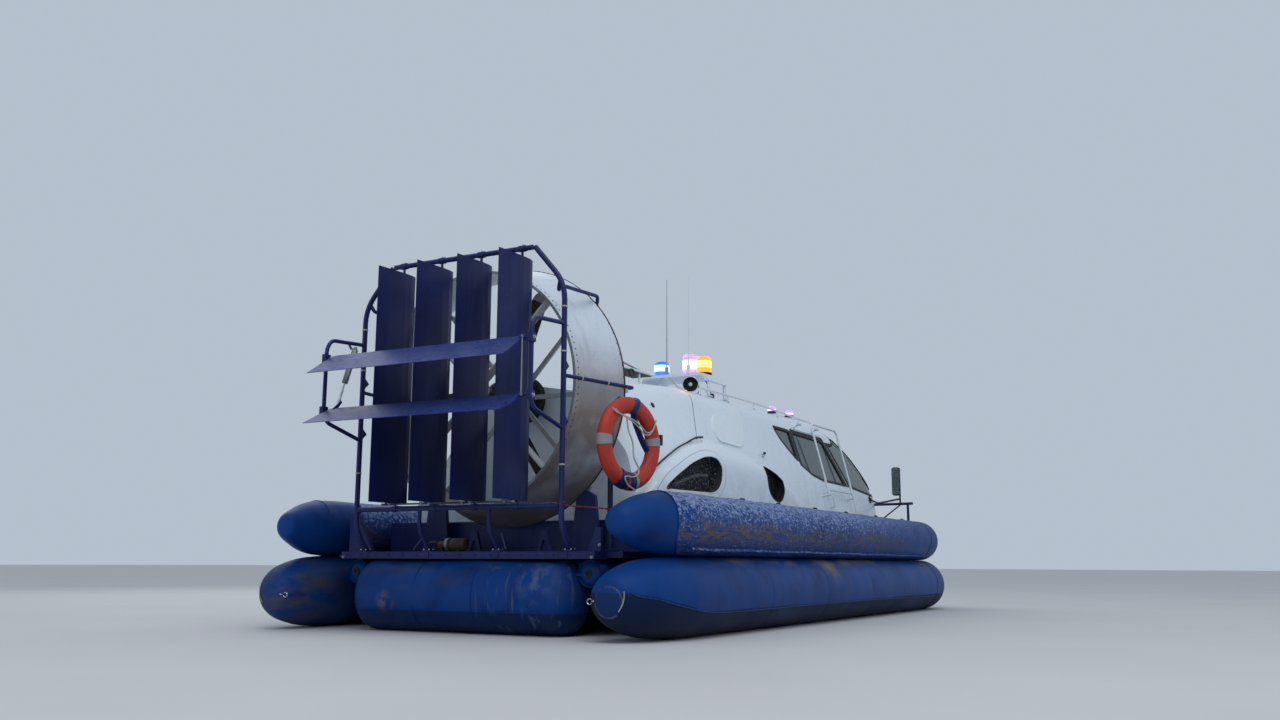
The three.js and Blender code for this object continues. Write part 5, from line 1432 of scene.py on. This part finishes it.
def fairing_side(x, z):
    """How far out the fairing's skin is at x and z."""
    out, top, side_z, crest = (soft(FAIRING, x, c, STRETCH) for c in range(1, 5))
    if z <= side_z - SHOULDER:
        return out
    if z <= side_z:
        return out - 0.012 * (z - side_z + SHOULDER) / SHOULDER
    return out + (top - out) * (z - side_z) / (crest - side_z) - 0.012


def fairing_top(x, y):
    """The height of the fairing's upper face at x and y."""
    top, crest, root = (soft(FAIRING, x, c, STRETCH) for c in (2, 4, 5))
    return root + (crest - root) * (y - ROOT_Y) / (top - ROOT_Y)


def wires(lines, ring, y, radius, s):
    """Wires of a mesh, each cut to its stretches inside an outline."""
    shape = Shape()
    for (xa, za), (xb, zb) in lines:
        hits = []
        for (xc, zc), (xd, zd) in zip(ring, [*ring[1:], ring[0]]):
            cross = (xb - xa) * (zd - zc) - (zb - za) * (xd - xc)
            if abs(cross) < 1e-12:
                continue
            t = ((xc - xa) * (zd - zc) - (zc - za) * (xd - xc)) / cross
            u = ((xc - xa) * (zb - za) - (zc - za) * (xb - xa)) / cross
            if 0 <= u < 1 and 0 <= t <= 1:
                hits.append(t)
        hits.sort()
        for start, end in zip(hits[::2], hits[1::2]):
            ends = [(xa + (xb - xa) * t, s * y, za + (zb - za) * t) for t in (start, end)]
            if end - start > 1e-3:
                shape.sweep(ends, radius, 4)
    return shape


def plug(line, low, high):
    return Shape().prism(line, 1, low, high)


HOLLOW_LOW, HOLLOW_HIGH = 1.175, 1.545
OVAL_REAR, OVAL_FRONT = -0.62, -0.06
INTAKE_REAR, INTAKE_FRONT = -2.65, -1.6


def hollow_paint(centre, normal):
    """Painted shade: pit black on the hollows' floors and the oval's wall, lining grey on the intake's wall.
    """
    # The black floors and dark walls are painted shade of the openings behind the mesh.
    floor = abs(normal.y) > 0.9 and abs(abs(centre.y) - FLOOR_Y) < 0.003
    if floor and HOLLOW_LOW - 0.005 < centre.z < HOLLOW_HIGH + 0.015:
        return 1
    if abs(normal.y) >= 0.02 or abs(centre.y) <= FLOOR_Y or not HOLLOW_LOW < centre.z < HOLLOW_HIGH:
        return 0
    if OVAL_REAR < centre.x < OVAL_FRONT:
        return 1
    return 2 if INTAKE_REAR < centre.x < INTAKE_FRONT else 0


def grid(xs, zs, low, high, lean=0.0):
    """Upright and level wires of a mesh, each set from its (first, step, count); upright ones may lean."""
    (x, step_x, count_x), (z, step_z, count_z) = xs, zs
    lines = [((x + step_x * i, 1.1), (x + step_x * i + lean, 1.62)) for i in range(count_x)]
    return lines + [((low, z + step_z * i), (high, z + step_z * i)) for i in range(count_z)]


def intake_mesh(side, s):
    lines = grid((-2.72, 0.017, 64), (1.19, 0.017, 21), -2.72, -1.55, 0.1)
    mesh = wires(lines, outline(INTAKE, -0.002, INTAKE_REACH), 1.315, 0.002, s)
    rim = [(x, s * 1.316, z) for x, z in outline(INTAKE, -0.004, INTAKE_REACH)]
    mesh.sweep(rim, 0.006, 6, ring=True)
    piece(f"intake_mesh_{side}", mesh, [MESH], nodes=[f"intake_grille_{side}"])


def oval_mesh(side, s):
    ring = outline(OVAL, -0.002, OVAL_REACH)
    mesh = wires(grid((-0.6, 0.014, 38), (1.19, 0.014, 26), -0.62, -0.05), ring, 1.296, 0.0017, s)
    mesh.sweep([(x, s * (fairing_side(x, z) - 0.004), z) for x, z in ring], 0.007, 8, ring=True)
    piece(f"oval_mesh_{side}", mesh, [RUBBER])


def intake_lip(side, s):
    """The intake's rim and the gasket that runs over it, where fairing and cabin meet."""
    rim = [Vector((x, s * (fairing_side(x, z) - 0.003), z)) for x, z in outline(INTAKE, 0.002, INTAKE_REACH)]
    lip = Shape().sweep(rim, 0.007, 8, ring=True)
    line = []
    for p in spline([(x, z, 0) for x, z in GASKET], 6):
        z = max(p.y, fairing_top(p.x, cabin_y(p.x, p.y)) + 0.004)
        line.append(Vector((p.x, s * (cabin_y(p.x, z) + 0.004), z)))
    lip.sweep(line, 0.0085, 8, 1)
    piece(f"intake_lip_{side}", lip, [WHITE, RUBBER])


def intake_inside(side, s):
    """What shows behind the mesh: a pale pipe and two round fittings."""
    pipe = [(-2.46, s * 1.296, 1.23), (-2.2, s * 1.294, 1.3), (-1.98, s * 1.294, 1.345),
            (-1.8, s * 1.294, 1.355)]
    behind = Shape().sweep(spline(pipe, 6), 0.017, 14)
    for x, z, r in ((-2.1, 1.36, 0.085), (-1.8, 1.3, 0.075)):
        dish = [(0, r), (0.012, r), (0.018, r * 0.85), (0.018, r * 0.3), (0.008, 0)]
        behind.turned(dish, (x, s * (FLOOR_Y + 0.0005), z), (0, s, 0), 28, 1)
    piece(f"intake_inside_{side}", behind, [PALE_METAL, RUBBER])


def fairings():
    mouth, eye = outline(INTAKE, 0, INTAKE_REACH), outline(OVAL, 0, OVAL_REACH)
    hollows = [cut(plug(line, FLOOR_Y, 1.6)) for line in (mouth, eye)]
    solid = carved(fairing_loft(), cut(cabin_loft(0.0005)), *hollows)
    skin = carved(fairing_loft(-0.0005), cut(fairing_loft(0.003)))
    groove = carved(skin, keep(plug(outline(INTAKE, 0.06, 0.13), 1.1, 1.6)),
                    cut(plug(outline(INTAKE, 0.0565, 0.13), 1.0, 1.7)))
    for side, s in SIDES:
        panel(f"fairing_skin_{side}", mirrored(solid, s), [WHITE, PIT, LINING_AND_SHADE],
              nodes=[f"fairing_{side}"], paint=hollow_paint, smooth=36)
        panel(f"intake_groove_{side}", mirrored(groove, s), [BAND])
        intake_mesh(side, s)
        oval_mesh(side, s)
        intake_lip(side, s)
        intake_inside(side, s)


# Roof: beacons, searchlight, horns, rails with their lamps, and tray

BRIDGE_TOP = 2.545
BEACONS = [  # name, x, y, radius, height, lens, bright core
    ("blue", -0.37, -0.09, 0.084, 0.19, BLUE_LAMP, BLUE_CORE),
    ("violet", -0.255, -0.385, 0.088, 0.265, VIOLET_LAMP, VIOLET_CORE),
    ("orange", -0.41, -0.618, 0.08, 0.195, ORANGE_LAMP, ORANGE_CORE),
]
LIGHT_X, LIGHT_Y, LIGHT_Z = -0.69, -0.6, 2.388
LIGHT_WAY = (-0.92, -0.39, 0)
BOWL = [(-0.062, THIN), (-0.06, 0.02), (-0.03, 0.052), (0.02, 0.074), (0.06, 0.082), (0.088, 0.085),
        (0.101, 0.0855), (0.103, 0.082), (0.101, 0.078), (0.088, 0.076), (0.06, 0.07), (0.02, 0.058),
        (-0.015, 0.035), (-0.03, THIN)]
HORN = [(0, 0.036), (-0.02, 0.022), (-0.08, 0.012), (-0.15, 0.01), (-0.16, 0.018), (-0.19, 0.018),
        (-0.19, 0)]


def crown(x, y):
    """The height of the cabin's roof at x and y."""
    line = [p for p in cabin_section(x) if p.x >= 0]
    for a, b in zip(line, line[1:]):
        if b.x <= abs(y) <= a.x:
            return a.y + (b.y - a.y) * (a.x - abs(y)) / max(a.x - b.x, 1e-6)
    return line[-1].y


def beacon(name, x, y, r, height, lens, core):
    place = (x, y, BRIDGE_TOP)
    base = [(0.0005, 0), (0.0005, r + 0.005), (0.016, r + 0.005), (0.019, r - 0.004), (0.019, 0)]
    shape = Shape().turned(base, place, sides=36, paint=2)
    low, high = 0.02, height - 0.003
    rings = [(low, 0.0), (low, r - 0.004)]
    for i in range(19):
        rings.append((low + (high - 0.028 - low) * i / 18, r - 0.002 - (0.003 if i % 2 else 0.0)))
    rings += [(high - 0.02, r * 0.93), (high - 0.006, r * 0.78), (high, r * 0.4), (high, 0)]
    shape.turned(rings, place, sides=40)
    start, size = low + (high - low) * 0.3, (high - low) * 0.4
    glow = [(start, r - 0.0015), (start + 0.004, r), (start + size, r), (start + size + 0.004, r - 0.0015)]
    shape.turned(glow, place, sides=40, paint=1)
    piece(f"beacon_lamp_{name}", shape, [lens, core, BLACK], nodes=[f"beacon_{name}"])


def searchlight():
    where, mouth = Vector((LIGHT_X, LIGHT_Y, LIGHT_Z)), Vector(LIGHT_WAY).normalized()
    roof = crown(LIGHT_X, LIGHT_Y)
    lamp = Shape().turned(BOWL, where, mouth, 40)
    lamp.turned([(0.05, 0.067), (0.052, 0), (0.046, 0), (0.046, 0.066)], where, mouth, 32, 1)
    lamp.turned([(0.055, 0.024), (0.095, 0.02), (0.097, 0)], where, mouth, 20, 2)
    lamp.sweep([(LIGHT_X, LIGHT_Y, roof + 0.006), where], 0.014, 12)
    lamp.turned([(0, 0.032), (0.006, 0.03), (0.01, 0.016)], (LIGHT_X, LIGHT_Y, roof + 0.002), sides=16)
    piece("searchlight_bowl", lamp, [CHROME, PIT, STEEL], nodes=["searchlight"])


def horns():
    """Horns, small domes and the cables between them."""
    small = Shape()
    for x, y, size in ((-0.6, -0.42, 0.9), (-0.47, -0.7, 0.8), (-0.62, -0.2, 1.0)):
        start = Vector((x, y, crown(x, y) + 0.085 * size))
        small.turned([(a * size, r * size) for a, r in HORN], start, (-0.95, -0.3, 0.05), 20)
        small.block(start + Vector((0.06, -0.015, -0.085 * size)), start + Vector((0.11, 0.035, -0.01)), 1)
    for x, y, r in ((-0.5, -0.3, 0.04), (-0.44, -0.16, 0.034), (-0.4, -0.52, 0.034)):
        dome = [(0, r + 0.005), (0.012, r + 0.005), (0.03, r), (0.06, r * 0.7), (0.072, 0)]
        small.turned(dome, (x, y, crown(x, y) + 0.001), sides=24, paint=2)
        rim = [(0.014, r + 0.0055), (0.02, r + 0.005), (0.026, r + 0.0035)]
        small.turned(rim, (x, y, crown(x, y)), sides=24, paint=1)
    cables = (
        (1, [(-0.56, -0.5, 2.51), (-0.58, -0.57, 2.47), (-0.62, -0.63, 2.46), (-0.66, -0.68, 2.36),
             (-0.66, -0.66, crown(-0.66, 0.66) + 0.01)]),
        (1, [(-0.5, -0.66, 2.5), (-0.53, -0.7, 2.44), (-0.5, -0.73, 2.36), (-0.47, -0.72, 2.29)]),
        (3, [(-0.58, -0.3, 2.51), (-0.6, -0.36, 2.44), (-0.57, -0.42, 2.38), (-0.55, -0.5, 2.345)]))
    for paint, path in cables:
        small.sweep(spline(path, 6), 0.005, 8, paint)
    piece("horns_and_fittings", small, [CHROME, BLACK, VIOLET_LAMP, ROPE])


RAIL_Y, RAIL_UP = 0.8, 0.07
RAIL_ENDS, RAIL_POSTS = (-0.9, 2.35), (-0.2, 0.5, 1.2, 1.9)
LAMP_ROW_X = 2.08
TRAY_Z = 2.54


def roof_rails():
    """Two long rails with posts, and a bent pipe across the roof that carries four lamps."""
    shape = Shape()
    rear, front = RAIL_ENDS
    for _, s in SIDES:
        points = [(rear, 0.004), *((x, RAIL_UP) for x in (rear, *RAIL_POSTS, front)), (front, 0.004)]
        line = [(x, s * RAIL_Y, crown(x, RAIL_Y) + up) for x, up in points]
        shape.sweep(rounded(line, 0.07), 0.0105, 12)
        for x in RAIL_POSTS:
            roof = crown(x, RAIL_Y)
            shape.sweep([(x, s * RAIL_Y, roof + 0.002), (x, s * RAIL_Y, roof + RAIL_UP)], 0.008, 8)
        for x in (rear, *RAIL_POSTS, front):
            foot_place = (x, s * RAIL_Y, crown(x, RAIL_Y) + 0.001)
            shape.turned([(0, 0.024), (0.004, 0.022), (0.006, 0.01)], foot_place, sides=14)
    top, edge = crown(LAMP_ROW_X, 0), crown(LAMP_ROW_X, RAIL_Y) + RAIL_UP
    rise = [(LAMP_ROW_X, -0.61, top + 0.06), (LAMP_ROW_X, -0.38, top + 0.125)]
    fall = [(x, -y, z) for x, y, z in reversed(rise)]
    row = [(LAMP_ROW_X, -RAIL_Y, edge), *rise, *fall, (LAMP_ROW_X, RAIL_Y, edge)]
    shape.sweep(rounded(row, 0.08), 0.013, 12)
    for lamp in (*rise, *fall):
        base = [(0.005, 0), (0.005, 0.05), (0.018, 0.058), (0.026, 0.054), (0.026, 0)]
        dome = [(0.026, 0), (0.026, 0.05), (0.056, 0.052), (0.078, 0.042), (0.092, 0.02), (0.094, 0)]
        shape.turned(base, lamp, sides=28, paint=1)
        shape.turned(dome, lamp, sides=28, paint=2)
        shape.sleeve(lamp, UP, 0.0525, 0.0535, 0.034, 0.052, 28, 3)
    finishes = [WHITE_PIPE, BLACK, VIOLET_LAMP, VIOLET_CORE]
    piece("roof_rail_pipes", shape, finishes, nodes=["roof_rails"])


def mast_tray():
    tray = Shape().block((-1.735, -0.115, 2.522), (-0.655, 0.115, 2.548))
    for y in (-0.122, 0.122):
        tray.sweep([(-1.75, y, TRAY_Z), (-0.64, y, TRAY_Z)], 0.013, 10, 1)
    for x in (-1.742, -0.648):
        tray.sweep([(x, -0.122, TRAY_Z), (x, 0.122, TRAY_Z)], 0.013, 10, 1)
    for _, s in SIDES:
        for x in (-1.6, -0.9):
            tray.sweep([(x, s * 0.1, crown(x, 0.08) + 0.004), (x, s * 0.1, 2.53)], 0.012, 10, 1)
            base = [(0, 0.028), (0.005, 0.026), (0.008, 0.012)]
            tray.turned(base, (x, s * 0.1, crown(x, 0.1) + 0.001), sides=14, paint=1)
    coil = [Vector((-1.12 + 0.055 * cos(a), -0.13, 2.5 + 0.035 * sin(a))) for a in turns(20)]
    tray.sweep(coil, 0.009, 8, 2, ring=True)
    brace = rounded([(-1.75, -0.122, TRAY_Z), (-1.35, -0.1, 2.6), (-0.66, -0.06, 2.555)], 0.15)
    tray.sweep(brace, 0.009, 8, 3)
    finishes = [PLANK, WHITE_PIPE, RUBBER, GREY]
    piece("mast_tray_plank", tray, finishes, nodes=["mast_tray"], bevel=0.002)


# Mirrors and bow rail

MIRROR_X, MIRROR_Y, MIRROR_Z = 4.0, 1.388, 1.667
POLE_Y, POLE_LOW, POLE_HIGH = 1.437, 1.352, 1.5
ARM_X, ARM_Z = 3.55, 1.405
RAIL_HIGH = 1.37
BOW_POSTS = [(4.07, -1.52), (4.27, -0.52), (4.27, 0.52), (4.07, 1.52)]


def mirror(side, s):
    half_wide, half_high = 0.054, 0.191
    edge = [(s * MIRROR_Y + a * half_wide, MIRROR_Z + b * half_high)
            for a, b in ((-1, -1), (1, -1), (1, 1), (-1, 1))]
    shape = Shape().prism(outline(edge, 0, 0.035), 0, 3.986, 4.017)
    shape.prism(outline(edge, -0.01, 0.028), 0, 3.9825, 3.986, 1)
    y = s * POLE_Y
    arm = [(3.56, s * 1.167, ARM_Z), (3.75, s * 1.205, 1.365), (MIRROR_X, y, 1.432)]
    shape.sweep(rounded(arm, 0.05), 0.012, 12)
    shape.sweep([(MIRROR_X, y, POLE_LOW), (MIRROR_X, y, POLE_HIGH)], 0.012, 12)
    shape.sweep([(3.535, s * 1.224, 1.072), (MIRROR_X, y, POLE_LOW)], 0.0095, 10)
    shape.sweep([(4.01, y, POLE_HIGH), (4.01, y, 1.85)], 0.01, 10)
    spot, normal = on_cabin(ARM_X, ARM_Z, s, 0.001)
    shape.turned([(0, 0.034), (0.008, 0.032), (0.012, 0.02), (0.03, 0.018), (0.03, 0)], spot, normal, 16)
    for step in (-0.035, 0.035):
        bolt = on_cabin(ARM_X, ARM_Z + step, s, 0.001)[0]
        shape.turned([(0, 0.012), (0.02, 0.01), (0.02, 0)], bolt, normal, 8)
    nodes = [f"mirror_{side}"]
    piece(f"mirror_arm_{side}", shape, [BLACK, MIRROR], nodes=nodes, bevel=0.003)


def bow_rail():
    line = [(x, y, RAIL_HIGH) for x, y in [(4.04, -1.59), *BOW_POSTS, (4.04, 1.59)]]
    rail = Shape().sweep(rounded(line, 0.1), 0.018, 14)
    for x, y in BOW_POSTS:
        rail.sweep([(x, y, 1.116), (x, y, RAIL_HIGH)], 0.017, 12)
        rail.turned([(-0.004, 0.036), (0.004, 0.034), (0.008, 0.018)], (x, y, 1.114), sides=16)
    piece("bow_rail_pipe", rail, [NAVY], nodes=["bow_rail"])


# Cabin inside: padded seats on their bases

SEATS = (("starboard", 1.9, -0.55, 0.27, 1), ("port", 1.9, 0.55, 0.27, 1), ("bench", 0.85, 0.0, 0.85, 3))
SEAT_LOW, SEAT_HIGH = 0.945, 1.19


def seats():
    base = Shape().block((0.6, -0.9, DECK_Z), (2.7, 0.9, SEAT_LOW))
    for _, x, y, width, _ in SEATS:
        base.block((x + 0.03, y - width + 0.03, SEAT_LOW), (x + 0.45, y + width - 0.03, SEAT_HIGH))
    piece("seat_bases", base, [LINING_AND_SHADE], nodes=["seats"], bevel=0.01)
    for name, x, y, width, count in SEATS:
        shape = Shape()
        wide = width / count
        for place in range(count):
            middle = y + (place - (count - 1) / 2) * 2 * wide
            shape.pad((x + 0.24, middle, 1.24), (0.235, wide - 0.006, 0.05))
            shape.pad((x - 0.005, middle, 1.545), (0.045, wide - 0.006, 0.265), radians(-11))
        made = piece(f"seat_pads_{name}", shape, [SEAT])


# Finishes of the CAD nodes that stay

NODE_FINISH = {
    NAVY: ["hull"],
    RUDDER_BLUE: ["rudder_1", "rudder_2", "rudder_3", "rudder_4"],
    VANE: ["vane_upper", "vane_lower"],
    GREY: ["vane_link", "actuator_cylinder", "aerial_inner"],
    PALE_METAL: ["rear_struts", "front_struts"],
    CHROME: ["actuator_rod"],
    WHITE: ["roof_bridge"],
    WHITE_PIPE: ["aerial_outer"],
    BLACK: ["console"],
    IRON: ["engine_block"],
}
EDGES = {"hull": 0.004, "roof_bridge": 0.014, "console": 0.008, "engine_block": 0.01, "rear_struts": 0.003}


def finish_nodes():
    for finish, names in NODE_FINISH.items():
        for name in names:
            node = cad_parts[name]
            node.data.materials.clear()
            node.data.materials.append(finish)
            node.data.polygons.foreach_set("use_smooth", [True] * len(node.data.polygons))
            node.data.set_sharp_from_angle(angle=radians(24))
            if name in EDGES:
                rounding = node.modifiers.new("edges", "BEVEL")
                rounding.width = EDGES[name]
                rounding.segments = 3
                rounding.angle_limit = radians(35)


# Pale floor and soft light

FLOOR_HALF = 150
LIGHTS = (("key", (-9, -6, 12), 9, 520), ("fill", (4, 10, 10), 10, 330))  # name, place, size, power


def stage():
    mesh = bpy.data.meshes.new("floor")
    corners = [(a * FLOOR_HALF, b * FLOOR_HALF, 0) for a, b in ((-1, -1), (1, -1), (1, 1), (-1, 1))]
    mesh.from_pydata(corners, [], [(0, 1, 2, 3)])
    pale = Finish("floor", (0.62, 0.61, 0.59), 0.9)
    pale.layer(pale.step(pale.noise(0.5, 3), 0.3, 0.8), (0.66, 0.65, 0.64))
    mesh.materials.append(pale.done())
    floor = bpy.data.objects.new("floor", mesh)
    scene.collection.objects.link(floor)
    world = bpy.data.worlds.new("sky")
    world.use_nodes = True
    sky = world.node_tree.nodes["Background"]
    sky.inputs["Color"].default_value = (0.7, 0.8, 0.93, 1)
    sky.inputs["Strength"].default_value = 0.66
    scene.world = world
    for name, place, size, power in LIGHTS:
        lamp = bpy.data.lights.new(name, "AREA")
        lamp.energy = power
        lamp.size = size
        made = bpy.data.objects.new(name, lamp)
        made.location = place
        made.rotation_euler = (UP - Vector(place)).to_track_quat("-Z", "Y").to_euler()
        scene.collection.objects.link(made)
    scene.view_settings.view_transform = "Standard"


skirts()
stern_skirt()
skirt_trim()
duct()
propeller()
tube_frame()
tie_rod()
lifebuoy()
lifebuoy_stand()
beam_fittings()
bilge_pump()
red_lashing()
cabin()
door_pipes()
fairings()
for settings in BEACONS:
    beacon(*settings)
searchlight()
horns()
roof_rails()
mast_tray()
for each_side, sign in SIDES:
    mirror(each_side, sign)
bow_rail()
seats()
finish_nodes()
stage()
